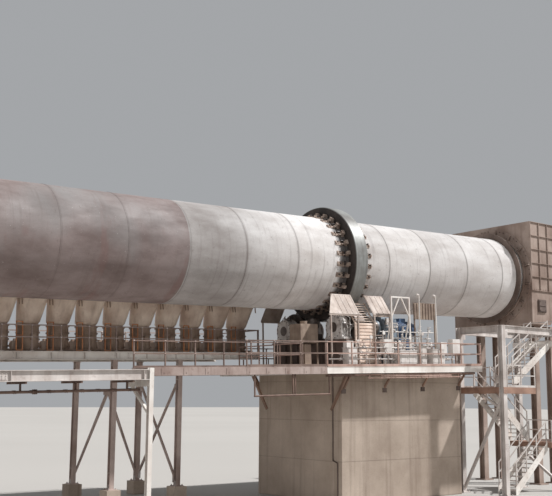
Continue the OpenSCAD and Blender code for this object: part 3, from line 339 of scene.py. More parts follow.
# Each weathered finish: light, dark and dirt colour, roughness, and what differs from the usual wear.
# The first sixteen carry the names of the record's material slots.
M = {name: weathered(name, *look, **wear) for name, look, wear in (
    ("refractory", ((132, 104, 88), (84, 62, 52), (50, 38, 34), 0.95), dict(patch=3.0, height=0.01)),
    ("tyre_steel", ((88, 82, 80), (60, 54, 52), (38, 31, 29), 0.5), dict(metal=0.35, patch=2.4, streak=0.25)),
    ("pad_steel", ((178, 162, 150), (126, 106, 94), (62, 48, 42), 0.75), dict(patch=7.0, spots=0.6)),
    ("seal_steel", ((128, 112, 103), (92, 78, 70), (70, 48, 36), 0.65), dict(metal=0.1)),
    ("roller_steel", ((128, 118, 112), (84, 76, 72), (52, 42, 38), 0.4), dict(metal=0.55, patch=3.0)),
    ("machine_grey", ((150, 142, 138), (112, 102, 98), (74, 56, 46), 0.55), dict(metal=0.1)),
    ("frame_steel", ((122, 106, 98), (88, 74, 68), (60, 44, 36), 0.65), dict(metal=0.1)),
    ("shield_steel", ((158, 140, 124), (120, 102, 90), (86, 64, 52), 0.65), dict(patch=3.0)),
    ("painted_steel", ((210, 203, 198), (172, 162, 156), (122, 96, 82), 0.55), dict(patch=2.0)),
    ("motor_blue", ((84, 108, 140), (58, 78, 106), (58, 50, 48), 0.5), dict(patch=4.0, spots=0.5)),
    ("reducer_blue", ((136, 148, 158), (96, 106, 118), (78, 64, 56), 0.5), dict(patch=4.0, spots=0.5)),
    ("cabinet_white", ((224, 220, 216), (198, 190, 184), (140, 118, 104), 0.45), dict(spots=0.15)),
    ("fan_steel", ((176, 156, 140), (138, 116, 100), (92, 68, 54), 0.65), dict(patch=2.6)),
    ("casing_steel", ((172, 154, 143), (132, 112, 101), (92, 70, 58), 0.7), dict(patch=1.2)),
    ("pipe_brown", ((124, 100, 88), (88, 68, 59), (56, 43, 38), 0.7), dict(patch=4.0)),
    ("orange_steel", ((206, 142, 96), (162, 104, 70), (96, 66, 50), 0.6), dict(patch=4.0)),
    ("clean_white_paint", ((230, 226, 220), (204, 194, 186), (142, 108, 88), 0.5),
     dict(patch=1.6, streak=0.4, spots=0.3)),
    ("dusty_paint", ((172, 156, 149), (134, 114, 106), (96, 70, 58), 0.7),
     dict(patch=1.8, streak=0.6, spots=0.5)),
    ("nozzle_sheet", ((238, 222, 206), (204, 182, 166), (136, 110, 92), 0.7),
     dict(patch=2.2, streak=0.35, spots=0.2)),
    ("leg_paint", ((198, 180, 172), (158, 138, 129), (128, 102, 88), 0.65),
     dict(patch=1.4, streak=0.4, spots=0.3)),
    ("rail_rust", ((132, 112, 102), (98, 80, 72), (70, 52, 44), 0.75), dict(patch=2.5, spots=0.5)),
    ("silver_paint", ((236, 232, 228), (192, 184, 178), (104, 84, 72), 0.5),
     dict(patch=6.0, streak=0.6, spots=0.5)),
    ("guard_paint", ((240, 222, 208), (208, 184, 168), (128, 98, 82), 0.6),
     dict(patch=3.0, streak=0.3, spots=0.2)),
    ("shield_sheet", ((182, 168, 158), (144, 128, 118), (96, 76, 66), 0.65),
     dict(patch=3.0, streak=0.35, spots=0.3)),
    ("hand_rail", ((186, 158, 146), (146, 116, 104), (92, 66, 54), 0.65), dict(patch=2.5, spots=0.5)),
)}
M.update({
    "shell_steel": shell_material(),
    "concrete": concrete_material(),
    "tyre_running_steel": tyre_material(),
    "deck_paint": deck_material("deck_paint", deck_z(0), DECK_BELLY),
    "gallery_paint": deck_material("gallery_paint", FAN_DECK_H, FAN_DECK_BELLY),
    "landing_paint": landing_material(),
})

# CAD nodes that look otherwise than the rest of their slot
REPAINT = {node: M[paint] for paint, nodes in (
    ("tyre_running_steel", ("feed_tyre", "discharge_tyre")),
    ("silver_paint", ("feed_bearings", "discharge_bearings")),
    ("shield_sheet", ("feed_heat_shields", "discharge_heat_shields")),
    ("guard_paint", ("roller_guard",)),
    ("deck_paint", ("feed_platform", "discharge_platform")),
    ("hand_rail", ("feed_platform_rails", "discharge_platform_rails")),
    ("clean_white_paint", ("service_posts", "hoist_frame", "light_poles")),
    ("clean_white_paint", ("lower_flight", "middle_flight", "upper_flight")),
    ("dusty_paint", ("service_walkway", "gallery_rails")),
    ("rail_rust", ("walkway_rails",)),
    ("gallery_paint", ("gallery_deck",)),
    ("leg_paint", ("gallery_legs",)),
    ("nozzle_sheet", ("fan_nozzles",)),
    ("landing_paint", ("stair_landings",)),
) for node in nodes}

SLOT = {p["node"]: p["material_slot"] for p in frame["record"]["subparts"]}
for name, obj in frame["nodes"].items():
    obj.data.materials.clear()
    obj.data.materials.append(REPAINT.get(name, M[SLOT[name]]))


# Small meshes

class Kit:
    """Collects boxes, bars and round pieces into one mesh."""

    def __init__(self):
        self.bm = bmesh.new()

    def box(self, size, m):
        bmesh.ops.create_cube(self.bm, size=1.0, matrix=m @ Matrix.Diagonal((*size, 1)))

    def round(self, r, depth, m, n=12):
        """A cylinder along m's Z, centred on it."""
        made = bmesh.ops.create_cone(self.bm, cap_ends=True, segments=n, radius1=r, radius2=r, depth=depth,
                                     matrix=m)
        if n > 8:
            for f in {f for v in made["verts"] for f in v.link_faces}:
                f.smooth = len(f.verts) == 4

    def bar(self, a, b, w, n=0):
        """A square bar, or with n a round one, from a to b."""
        a, b = Vector(a), Vector(b)
        m = T(*(a + b) / 2) @ (b - a).to_track_quat("Z", "Y").to_matrix().to_4x4()
        if n:
            self.round(w / 2, (b - a).length, m, n)
        else:
            self.box((w, w, (b - a).length), m)

    def pipe(self, points, r, n=10, m=Matrix()):
        """A bent pipe through points in m: straight runs with a ball at each bend."""
        points = [m @ Vector(p) for p in points]
        for a, b in zip(points, points[1:]):
            self.bar(a, b, 2 * r, n)
        for p in points[1:-1]:
            made = bmesh.ops.create_icosphere(self.bm, subdivisions=1, radius=r * 1.06, matrix=T(*p))
            for f in {f for v in made["verts"] for f in v.link_faces}:
                f.smooth = True

    def hoop(self, m, r, w):
        """An eight-sided ring of square bar on m's XY plane."""
        points = [m @ Vector((r * math.cos(t), r * math.sin(t), 0)) for t in spread(0, 2 * math.pi, 9)]
        for a, b in zip(points, points[1:]):
            self.bar(a, b, w)

    def bolt(self, m, r, h):
        """A washer and hexagon head on m's XY plane, pointing along its Z."""
        self.round(r * 1.35, h * 0.4, m @ T(0, 0, h * 0.2), 12)
        self.round(r, h, m @ T(0, 0, h * 0.7), 6)

    def bolt_ring(self, m, n, radius, way, r, h, start=0.0):
        """n bolts on a circle about m's X, pointing up it (way 1) or down it (way -1)."""
        for i in range(n):
            self.bolt(m @ R(start + i * 360 / n, "X") @ T(0, 0, radius) @ R(90 * way, "Y"), r, h)

    def done(self, name, slot, place=None, body="plant", paint=None):
        """The piece, moved to its place, riding on its body; paint names a finish other than its slot's."""
        mesh = bpy.data.meshes.new(name)
        self.bm.to_mesh(mesh)
        self.bm.free()
        mesh.materials.append(M[paint or slot])
        if place is not None:
            mesh.transform(place)
        obj = bpy.data.objects.new(name, mesh)
        scene.collection.objects.link(obj)
        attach(obj, body)


def valve(k, m, r):
    """A small flanged valve with its hand wheel, on a pipe along m's X."""
    k.round(r, 0.07, m @ R(90, "Y"), 12)
    for u in (-0.035, 0.035):
        k.round(r * 1.5, 0.012, m @ T(u, 0, 0) @ R(90, "Y"), 12)
    k.round(0.008, 0.1, m @ T(0, 0, 0.05), 8)
    wheel = m @ T(0, 0, 0.1)
    k.hoop(wheel, 0.045, 0.008)
    k.box((0.09, 0.006, 0.006), wheel)
    k.box((0.006, 0.09, 0.006), wheel)


def tread_bars(k, x, pitch, n, size, y, z=0.0):
    """n bars of a grated or chequered floor at level z, from x up the slope."""
    for i in range(n):
        k.box(size, T(x + i * pitch, y, z + size[2] / 2))


def rail_feet(k, m, length, pitch=0.7):
    """Foot plates and bolts under a straight rail's posts and ball joints on its handrail."""
    bays = max(1, round(length / pitch))
    for i in range(bays + 1):
        p = m @ T(i * (length - RAIL_BAR) / bays + RAIL_BAR / 2, RAIL_BAR / 2, 0)
        k.box((0.07, 0.05, 0.008), p @ T(0, 0, 0.004))
        for u in (0.025, -0.025):
            k.bolt(p @ T(u, 0.0, 0.008), 0.005, 0.006)
        k.round(0.021, 0.03, p @ T(0, 0, 0.523), 12)
        k.round(0.018, 0.028, p @ T(0, 0, 0.28), 12)


def grid_on(k, m, w, h, nu, nv):
    """Flat stiffeners nu by nv on m's XY plane, w by h."""
    thick, proud = 0.012, 0.03
    for u in spread(-w / 2, w / 2, nu + 1):
        k.box((thick, h, proud), m @ T(u, 0, proud / 2))
    for v in spread(-h / 2, h / 2, nv + 1):
        k.box((w, thick, proud), m @ T(0, v, proud / 2))


def hatch(k, x, y, z, size, border, lift, us, vs):
    """An inspection hatch on the side wall at y: its frame, its lid and the lid's bolts."""
    s = math.copysign(1, y)
    w, h = size
    k.box((w, 0.03, h), T(x, y + s * 0.015, z))
    k.box((w - border, 0.02, h - border), T(x, y + s * lift, z))
    for u, v in product(us, vs):
        k.bolt(T(x + u, y + s * (lift + 0.01), z + v) @ R(-90 * s, "X"), 0.01, 0.012)


# Kiln and its two stations

def kiln_details():
    """Wedges, shims, keeper bars and studs on both tyres' pads, none of them quite alike."""
    for tag, x, _ in STATIONS:
        trim, wedges = Kit(), Kit()
        for i in range(PADS):
            m = R(360 * (i + 0.5) / PADS, "X") @ T(0, 0, SHELL_R)
            wob = math.sin(i * 12.9)
            for s in SIDES:
                trim.box((0.07, 0.075 + 0.012 * wob, 0.03), m @ T(s * 0.254, 0.006 * wob, 0.1) @ R(3 * wob, "Z"))
                wedges.box((0.035, 0.15, 0.02), m @ T(s * 0.325, 0.004 * wob, 0.027) @ R(2 * wob, "Z"))
                wedges.box((0.09, 0.014, 0.05), m @ T(s * 0.35, 0.04 + 0.004 * wob, 0.04))
                trim.box((0.09, 0.014, 0.05), m @ T(s * 0.35, -0.04, 0.04))
                trim.bolt(m @ T(s * 0.43, 0.0, 0.0165), 0.013, 0.014)
                wedges.round(0.017, 0.045, m @ T(s * 0.465, 0.03 * wob, 0.038), 10)
            for v in (-0.055, 0.055):
                trim.box((0.9, 0.006, 0.007), m @ T(0, v, 0.0035))
        trim.done(tag + "_pad_trim", "pad_steel", on_axis(x), "kiln")
        wedges.done(tag + "_pad_wedges", "tyre_steel", on_axis(x), "kiln")


def roller_details():
    """Rings of bolts on both faces of the four support rollers."""
    for (tag, x, _), (side, s) in product(STATIONS, (("front", -1), ("rear", 1))):
        k = Kit()
        for e in SIDES:
            k.bolt_ring(T(e * 0.18, 0, 0), 12, 0.265, e, 0.016, 0.016)
            k.bolt_ring(T(e * 0.244, 0, 0), 6, 0.15, e, 0.012, 0.012, 15)
        body = f"{tag}_roller_{side}"
        k.done(body + "_bolts", "roller_steel", on_axis(x) @ T(0, s * ROLLER_Y, ROLLER_Z), body)


def bearing_details(k, lines, c, s):
    """The bearing at c on side s: its bolts, ribs, cap, side box and lifting eyes, and its grease lines."""
    for u, v in product((-0.09, 0.0, 0.09), (-0.303, 0.303)):
        k.bolt(c @ T(u, v, HOUSING_FOOT + 0.055), 0.012, 0.02)
    for e in SIDES:
        k.bolt_ring(c @ T(e * 0.139, 0, 0), 16, 0.243, e, 0.011, 0.012, 11)
    for v in (-0.02, 0.02):
        k.box((0.2, 0.012, 0.028), c @ T(0, v, HOUSING_R + 0.012))
    k.round(0.045, 0.02, c @ T(0.07, 0, HOUSING_R + 0.02), 14)
    for u in (-0.06, 0.0, 0.06):
        shoulder, foot = s * (0.28 + u), s * (0.31 + u * 0.5)
        lines.pipe(((u, 0.03 * s, HOUSING_R), (u, 0.03 * s, HOUSING_R + 0.06 + abs(u)), (u, shoulder, 0.2),
                    (u, foot, -0.05), (u, foot, HOUSING_FOOT + 0.056)), 0.009, 8, c)
        valve(lines, c @ T(u, foot, -0.02 + u) @ R(90, "Y"), 0.012)
    k.box((0.16, 0.05, 0.12), c @ T(0, s * 0.265, 0.02) @ R(-s * 4, "X"))
    for u in (-0.09, 0.09):
        eye = c @ T(u, 0, HOUSING_R + 0.02)
        k.round(0.018, 0.02, eye, 10)
        k.hoop(eye @ T(0, 0, 0.034) @ R(90, "Y") @ R(90, "Z"), 0.024, 0.01)


def station_details():
    """Bolts and lines on the bearings, anchor bolts and oil pipes on the base frames."""
    for tag, x, _ in STATIONS:
        k, pipes, lines = Kit(), Kit(), Kit()
        for s in SIDES:
            for e in SIDES:
                bearing_details(k, lines, T(e * BEARING_X, s * ROLLER_Y, ROLLER_Z), s)
            pipes.pipe(((-0.5, s * 1.36, -2.36), (0.5, s * 1.36, -2.36)), 0.02)
            y = s * 1.4
            pipes.pipe(((-0.62, y, -2.44), (-0.62, y, -2.2), (-0.3, y, -2.2), (0.5, y, -2.2)), 0.013, 8)
        for e, v, u in product(SIDES, spread(-1.2, 1.2, 16), (-0.165, 0.165)):
            k.bolt(T(e * BEARING_X + u, v, -2.42), 0.014, 0.024)
        k.done(tag + "_station_bolts", "machine_grey", on_axis(x))
        pipes.done(tag + "_oil_pipes", "pipe_brown", on_axis(x))
        lines.done(tag + "_bearing_lines", "cabinet_white", on_axis(x))


def shield_details():
    """Ribs and edge screws on the sloping heat shields."""
    inner, run, fall, flare = 1.13, 1.4427 - 1.13, 0.47, 0.33
    length = math.hypot(run, fall)
    for tag, x, _ in STATIONS:
        k = Kit()
        for s, e in product(SIDES, SIDES):
            lean = T(0, s * inner, -0.83) @ Matrix.Rotation(s * math.atan2(run, fall), 4, "X")
            for u in spread(0.24, 0.72, 4):
                k.box((0.03, 0.006, length * 0.94), lean @ T(e * u, s * 0.017, -length / 2))
            foot = 0.56 + (flare if e < 0 and s < 0 else 0.0)
            for i, (z, wide) in product(range(8), ((0.03, 0.56), (length - 0.03, foot))):
                k.bolt(lean @ T(e * (0.225 + i * wide / 7), s * 0.014, -z) @ R(-90 * s, "X"), 0.007, 0.007)
        k.done(tag + "_shield_trim", "shield_steel", on_axis(x), paint="shield_sheet")


def guard_details():
    """Plain sheet behind the guard's lower slats, with its edge angles and screws."""
    k = Kit()
    c = T(-0.03, -ROLLER_Y - ROLLER_R - 0.092, -DECK_DROP)
    k.box((0.57, 0.004, 0.9), c @ T(0, 0.014, 0.53))
    for u in (-0.29, 0.29):
        k.box((0.03, 0.006, 0.94), c @ T(u, -0.004, 0.52))
        for i in range(8):
            k.bolt(c @ T(u, -0.008, 0.1 + i * 0.12) @ R(90, "X"), 0.006, 0.006)
    k.done("guard_sheet", "shield_steel", on_axis(), paint="guard_paint")


def drive_details():
    """Case bolts, joint plate and breather on the reducer, and the cooling lines beside it."""
    k, lines = Kit(), Kit()
    c = T(DRIVE_X, -ROLLER_Y, ROLLER_Z)
    for i, s in product(range(9), SIDES):
        k.bolt(c @ T(0.11 + i * 0.05, s * 0.252, -0.22), 0.01, 0.016)
        k.bolt(c @ T(0.15 + i * 0.045, s * 0.2312, 0.0) @ R(-90 * s, "X"), 0.009, 0.01)
    k.box((0.43, 0.47, 0.014), c @ T(0.33, 0, 0.0))
    k.round(0.03, 0.07, c @ T(0.3, 0.0, 0.38), 12)
    k.round(0.045, 0.02, c @ T(0.3, 0.0, 0.42), 12)
    for i in range(8):
        k.bolt(c @ T(0.33, 0, 0.355) @ R(i * 45, "Z") @ T(0.06, 0, 0), 0.006, 0.008)
    k.done("drive_bolts", "reducer_blue", on_axis())
    for v, z in ((-0.25, 0.1), (-0.26, -0.08), (-0.255, 0.02)):
        lines.pipe(((0.14, v, z), (0.14, v - 0.05, z), (0.5, v - 0.05, z), (0.5, v - 0.05, -0.46)), 0.009, 8, c)
    for u in (0.2, 0.33, 0.46):
        valve(lines, c @ T(u, -0.305, 0.02), 0.014)
    lines.box((0.12, 0.05, 0.16), c @ T(0.2, -0.28, 0.15))
    lines.done("drive_lines", "cabinet_white", on_axis())


# Feed chamber and discharge hood

def flange_details():
    """Bolts, lugs and studs round the feed chamber's seal flange."""
    k = Kit()
    face = T(CHAMBER_X - 0.0404, 0, axis_z(CHAMBER_X))
    for i in range(64):
        if i % 4 != 1:
            k.bolt(face @ R(i * 5.625, "X") @ T(0, 0, 1.335) @ R(-90, "Y"), 0.014, 0.016)
    for i in range(16):
        m = face @ R((i + 0.5) * 22.5, "X")
        for v in (-0.03, 0.03):
            k.box((0.014, 0.012, 0.1), m @ T(-0.007, v, 1.26))
        k.bolt(m @ T(0, 0.09, 1.22) @ R(-90, "Y"), 0.011, 0.014)
    k.done("flange_bolts", "seal_steel")


def on_wall(x, y, z):
    """A frame on the side wall at y whose Z points out of it."""
    return T(x, y, z) @ R(90, "X") @ R(0 if y < 0 else 180, "Y")


def chamber_details(k, doors):
    """Stiffeners on three walls, a bolted joint and a hatch with its bar on either side."""
    x, half, grid_z = CHAMBER_X, 1.35, 6.1
    for s in SIDES:
        grid_on(k, on_wall(x + HOUSING_L / 2, s * half, grid_z), HOUSING_L, 1.88, 4, 5)
        for u in spread(x + 0.05, x + HOUSING_L - 0.05, 16):
            k.bolt(T(u, s * half, 5.2) @ R(-90 * s, "X"), 0.01, 0.01)
        hatch(doors, x + 0.42, s * half, 4.75, (0.34, 0.34), 0.04, 0.037, (-0.12, 0.12), (-0.12, 0.12))
        doors.bar((x + 0.3, s * 1.405, 4.75), (x + 0.54, s * 1.405, 4.75), 0.016, 8)
    grid_on(k, T(x + HOUSING_L, 0, grid_z) @ R(90, "Z") @ R(90, "X"), 2 * half, 1.88, 6, 4)


def hood_details(k, doors):
    """Stiffeners on three walls, four hatches, the burner opening's bolts, two ports and the seal's bolts."""
    x, half, axis = HOOD_X, 1.4, axis_z(HOOD_X)
    for s in SIDES:
        grid_on(k, on_wall(x - HOUSING_L / 2, s * half, 4.5), HOUSING_L, 3.0, 4, 7)
        for z in (3.5, 4.9):
            hatch(doors, x - HOUSING_L / 2, s * half, z, (0.4, 0.5), 0.06, 0.038,
                  (-0.15, 0.15), (-0.19, 0.0, 0.19))
    grid_on(k, T(x - HOUSING_L, 0, 4.35) @ R(-90, "Z") @ R(90, "X"), 2 * half, 2.7, 6, 6)
    k.bolt_ring(T(x - HOUSING_L, 0, axis), 24, 0.3, -1, 0.012, 0.012)
    for s in SIDES:
        doors.round(0.1, 0.05, T(x - HOUSING_L - 0.03, s * 0.75, axis) @ R(90, "Y"), 24)
        doors.round(0.07, 0.09, T(x - HOUSING_L - 0.045, s * 0.75, axis) @ R(90, "Y"), 24)
    k.bolt_ring(T(x, 0, axis), 36, 1.26, 1, 0.013, 0.014)
    for i in range(24):
        k.box((0.02, 0.012, 0.1), T(x + 0.01, 0, axis) @ R(i * 15 + 7, "X") @ T(0, 0, 1.27))


def housing_details():
    """Stiffeners, inspection doors and bolts on the feed chamber and the discharge hood."""
    k, doors = Kit(), Kit()
    chamber_details(k, doors)
    hood_details(k, doors)
    k.done("housing_stiffeners", "casing_steel")
    doors.done("housing_doors", "frame_steel")


# Platforms and piers

def platform_details():
    """Tread bars, rail feet and edge beads on both decks, cables and pipes along their beams."""
    for tag, x, up in STATIONS:
        k, runs = Kit(), Kit()
        a, b = -DECK_DOWN, up + DECK_OVER
        length = b - a
        tread_bars(k, a + 0.05, 0.09, int(length / 0.09), (0.008, 2 * DECK_Y - 0.04, 0.004), 0)
        for y in (-DECK_Y + RAIL_INSET, DECK_Y - RAIL_INSET - RAIL_BAR):
            rail_feet(k, T(a + RAIL_INSET, y, 0), length - 2 * RAIL_INSET)
        for s, z in product(SIDES, (-0.008, 0.01 - DECK_BELLY)):
            k.box((length - 0.02, 0.006, 0.012), T((a + b) / 2, s * (DECK_Y + 0.003), z))
        k.done(tag + "_deck_trim", "painted_steel", on_deck(x), paint="deck_paint")

        for (r, z), s in product(((0.012, -0.06), (0.009, -0.09)), SIDES):
            runs.bar((a + 0.1, s * 1.808, z), (b - 0.1, s * 1.808, z), 2 * r, 8)
        for u, s in product(spread(a + 0.2, b - 0.2, 12), SIDES):
            runs.box((0.012, 0.008, 0.07), T(u, s * 1.794, -0.075))
        y = 0.035 - DECK_Y
        for z, r, cut in ((-0.18, 0.014, 0.3), (-0.215, 0.018, 1.1), (-0.255, 0.012, 0.7)):
            runs.bar((a + 0.5 + cut, y, z), (b - cut, y, z), 2 * r, 10)
            for u in spread(a + 0.6 + cut, b - 0.2 - 1.2 * cut, 6):
                runs.round(r + 0.006, 0.02, T(u, y, z) @ R(90, "Y"), 10)
        for u in spread(a + 1.25, b - 0.85, 9):
            runs.box((0.014, 0.02, 0.13), T(u, y, -0.213))
        runs.done(tag + "_conduits", "painted_steel", on_deck(x), paint="hand_rail")


def pier_details():
    """Bolted plates under the piers' caps and a drain pipe down each pier's lower end."""
    k = Kit()
    for _, x, up in STATIONS:
        for u, s in product(spread(x - PIER_DOWN + 0.05, x + up - 0.05, 4), SIDES):
            z = deck_z(u) - 0.53
            k.box((0.13, 0.012, 0.1), T(u, s * (PIER_Y + 0.006), z))
            for a, h in product((-0.05, 0.05), (-0.03, 0.03)):
                k.bolt(T(u + a, s * (PIER_Y + 0.012), z + h) @ R(-90 * s, "X"), 0.009, 0.01)
        u = x - PIER_DOWN - 0.015
        k.pipe(((u, -1.2, deck_z(x) - 0.15), (u, -1.2, 0.9), (u, -1.35, 0.85), (u, -1.35, 0.02)), 0.014, 8)
    k.done("pier_plates", "frame_steel")


def machinery_details():
    """Cooling water and grease lines with valves and gauges among the feed station's cabinets."""
    k, doors, boxes = Kit(), Kit(), Kit()
    for y, z, u0, u1 in ((-1.72, 0.3, -0.75, 2.2), (-1.66, 0.42, -0.6, 1.9), (-1.78, 0.16, -1.4, 2.6)):
        k.bar((u0, y, z), (u1, y, z), 0.028, 10)
        for u in spread(u0 + 0.1, u1 - 0.1, 8):
            k.bar((u, y, 0.002), (u, y, z), 0.014, 8)
        for u in spread(u0 + 0.35, u1 - 0.25, 4):
            valve(k, T(u, y, z), 0.022)

    # Branches with a gauge each
    for i, u in enumerate((-0.45, -0.05, 0.35, 0.85, 1.2, 1.62)):
        h = 0.5 + 0.1 * ((i * 7) % 3)
        k.pipe(((u, -1.66, 0.42), (u, -1.66, h), (u, -1.35, h), (u, -1.3, 0.25)), 0.012, 8)
        boxes.round(0.04, 0.02, T(u, -1.69, h + 0.05) @ R(90, "X"), 16)
        boxes.bar((u, -1.68, h), (u, -1.68, h + 0.03), 0.012, 8)

    # Upright lines, every second with a valve and every third with a filter, and the headers they meet
    for i in range(16):
        u, y, h = 0.52 + i * 0.115, -1.3 - 0.04 * ((i * 3) % 5), 0.42 + 0.16 * ((i * 5) % 4)
        boxes.bar((u, y, 0.001), (u, y, h), 0.018 + 0.004 * (i % 3), 8)
        boxes.round(0.02, 0.03, T(u, y, h), 10)
        if i % 2:
            valve(boxes, T(u + 0.04, y, h - 0.06), 0.015)
        if i % 3 == 0:
            boxes.round(0.034, 0.14, T(u + 0.02, y - 0.05, h * 0.55), 14)
            boxes.round(0.04, 0.02, T(u + 0.02, y - 0.05, h * 0.55 + 0.07), 14)
    for z, y in ((0.34, -1.41), (0.5, -1.37), (0.66, -1.33), (0.8, -1.42)):
        boxes.bar((0.5, y, z), (2.3, y, z), 0.02, 8)
        for i in range(5):
            boxes.round(0.022, 0.03, T(0.6 + i * 0.38, y, z) @ R(90, "Y"), 10)

    # Terminal boxes on two legs
    for u, y, s in ((-0.68, -1.62, 0.2), (0.5, -1.6, 0.24), (1.05, -1.55, 0.18), (2.25, -1.72, 0.2),
                    (2.7, -1.7, 0.26)):
        boxes.box((s, s * 0.6, s * 1.3), T(u, y, 0.3 + s * 0.65))
        for leg in (u - s * 0.3, u + s * 0.3):
            boxes.bar((leg, y, 0), (leg, y, 0.31), 0.024)

    # Doors of the CAD cabinets, with handle and hinges
    for u, w, y, h in ((-0.95, 0.3, -1.88, 0.395), (0.64, 0.59, -1.9, 0.345), (1.35, 0.19, -1.89, 0.45),
                       (1.72, 0.42, -1.9, 0.38)):
        leaves = 2 if w > 0.35 else 1
        leaf = (w - 0.06) / leaves
        for i in range(leaves):
            c = u + 0.03 + leaf * (i + 0.5)
            doors.box((leaf - 0.015, 0.006, h - 0.1), T(c, y + 0.006, 0.03 + h / 2))
            doors.box((0.012, 0.018, 0.06), T(c + leaf * 0.36, y - 0.002, h * 0.55))
            for z in (0.25, 0.75):
                doors.round(0.006, 0.03, T(c - leaf * 0.47, y + 0.002, h * z), 8)
    k.done("feed_service_lines", "painted_steel", on_deck())
    boxes.done("feed_boxes_and_gauges", "cabinet_white", on_deck())
    doors.done("cabinet_doors", "cabinet_white", on_deck())


# Fan gallery, service girder, walkway and stair tower

def gallery_details():
    """Web stiffeners, tread bars and cables on the gallery's deck, trim on its fans and nozzles."""
    k, nozzles, fans = Kit(), Kit(), Kit()
    end, start = -FANS * FAN_PITCH - FAN_FIRST - 0.2, -0.976
    length = start - end
    y0, y1 = FAN_DECK_Y
    for s, y in ((-1, y0), (1, y1)):
        for u in spread(end + 0.1, start - 0.1, 17):
            k.box((0.01, 0.036, 0.15), T(u, y - s * 0.022, -0.0935))
        for u, a, z in product(spread(end + 0.9, start - 0.9, 5), (-0.09, -0.03, 0.03, 0.09), (-0.05, -0.14)):
            k.bolt(T(u + a, y + s * 0.0385, z) @ R(90 * s, "X"), 0.008, 0.008)
    tread_bars(k, end + 0.05, 0.1, int(length / 0.1), (0.008, y1 - y0 - 0.04, 0.004), (y0 + y1) / 2)
    for y in (y0 + RAIL_INSET, y1 - RAIL_INSET - RAIL_BAR):
        rail_feet(k, T(end + RAIL_INSET, y, 0), length - 2 * RAIL_INSET, 0.64)
    for y in (y0 + 0.14, y0 + 0.17, y0 + 0.2):
        fans.bar((end + 0.1, y, 0.03), (start - 0.1, y, 0.03), 0.02, 8)

    for i in range(FANS):
        c = T(-FAN_FIRST - (i + 0.5) * FAN_PITCH, FAN_Y, 0)
        for j in range(16):
            fans.bolt(c @ R(j * 22.5, "Z") @ T(0.236, 0, FAN_NECK - 0.006), 0.006, 0.008)
        fans.box((0.09, 0.05, 0.12), c @ T(0.0, -0.262, 0.28))
        fans.pipe(((0.0, -0.27, 0.22), (0.0, -0.27, 0.04), (0.02, -0.3, 0.03)), 0.008, 8, c)
        for j in range(7):
            fans.round(0.103, 0.012, c @ T(0, 0.57 + j * 0.024, 0.16) @ R(90, "X"), 20)
        fans.box((0.07, 0.1, 0.05), c @ T(0, 0.62, 0.27))
        nozzles.box((FAN_PITCH - 0.02, 0.018, 0.05), c @ T(0, -0.446, FAN_NECK + 0.777))
        for u in (0.3, -0.3):
            nozzles.box((0.012, 0.03, 0.42), c @ T(u, -0.37, FAN_NECK + 0.6) @ R(-8, "X"))
    k.done("gallery_trim", "painted_steel", on_fan_deck())
    fans.done("fan_trim", "fan_steel", on_fan_deck())
    nozzles.done("nozzle_trim", "fan_steel", on_fan_deck())


def leg_details():
    """Anchor bolts, gussets and end plates on the gallery's legs, and the plates that hold their braces."""
    k = Kit()
    front, rear = FAN_DECK_Y[0] + 0.07, FAN_DECK_Y[1] - 0.07
    for i, x in enumerate(LEG_X):
        z = FAN_DECK_H + x * SLOPE - 0.175
        for y, inward in ((front, 1), (rear, -1)):
            for u, v in product((-0.085, 0.085), repeat=2):
                k.bolt(T(x + u, y + v, 0.3164), 0.014, 0.022)
            for s in SIDES:
                k.box((0.1, 0.012, 0.12), T(x, y + s * 0.048, z - 0.085))
                k.box((0.012, 0.05, 0.1), T(x + s * 0.05, y, 0.366))
            for h in (z - 0.45, 0.65):
                k.box((0.09, 0.098, 0.012), T(x, y, h))
            if i % 2 == 0:
                for h in (0.45, z - 0.62):
                    k.box((0.012, 0.18, 0.16), T(x, y + inward * 0.09, h))
                    for v in (0.05, 0.12):
                        k.bolt(T(x + 0.006, y + inward * v, h) @ R(90, "Y"), 0.009, 0.01)
    k.done("leg_trim", "painted_steel")


def girder_details():
    """Web stiffeners, splice plates and pipe clips on the service girder."""
    k, clips = Kit(), Kit()
    u0, u1, web_z, pipe_z = -13.6, -5.94, -0.125, -0.394
    for y in (-1.905, -1.195):
        for u, s in product(spread(u0 + 0.06, u1 - 0.06, 4), SIDES):
            k.box((0.01, 0.034, 0.164), T(u, y + s * 0.023, web_z))
        for u, s in product((-11.6, -8.7), SIDES):
            k.box((0.26, 0.008, 0.13), T(u, y + s * 0.0105, web_z))
            for i, h in product(range(4), (-0.04, 0.0, 0.04)):
                k.bolt(T(u - 0.1 + i * 0.0667, y + s * 0.0145, web_z + h) @ R(-90 * s, "X"), 0.008, 0.008)
    for u, y in product(spread(u0 + 0.25, u1 - 0.25, 24), SERVICE_PIPES_Y):
        clips.box((0.014, 0.066, 0.006), T(u, y, pipe_z + 0.027))
        clips.box((0.014, 0.006, 0.06), T(u, y - 0.03, pipe_z))
    for u, y in product((u0 + 1.1, u0 + 3.2, u0 + 5.6), SERVICE_PIPES_Y):
        for d in (-0.012, 0.012):
            clips.round(0.042, 0.012, T(u + d, y, pipe_z) @ R(90, "Y"), 16)
        clips.bolt_ring(T(u + 0.018, y, pipe_z), 6, 0.034, 1, 0.004, 0.008)
    k.done("girder_stiffeners", "painted_steel", on_deck())
    clips.done("pipe_clips", "pipe_brown", on_deck())


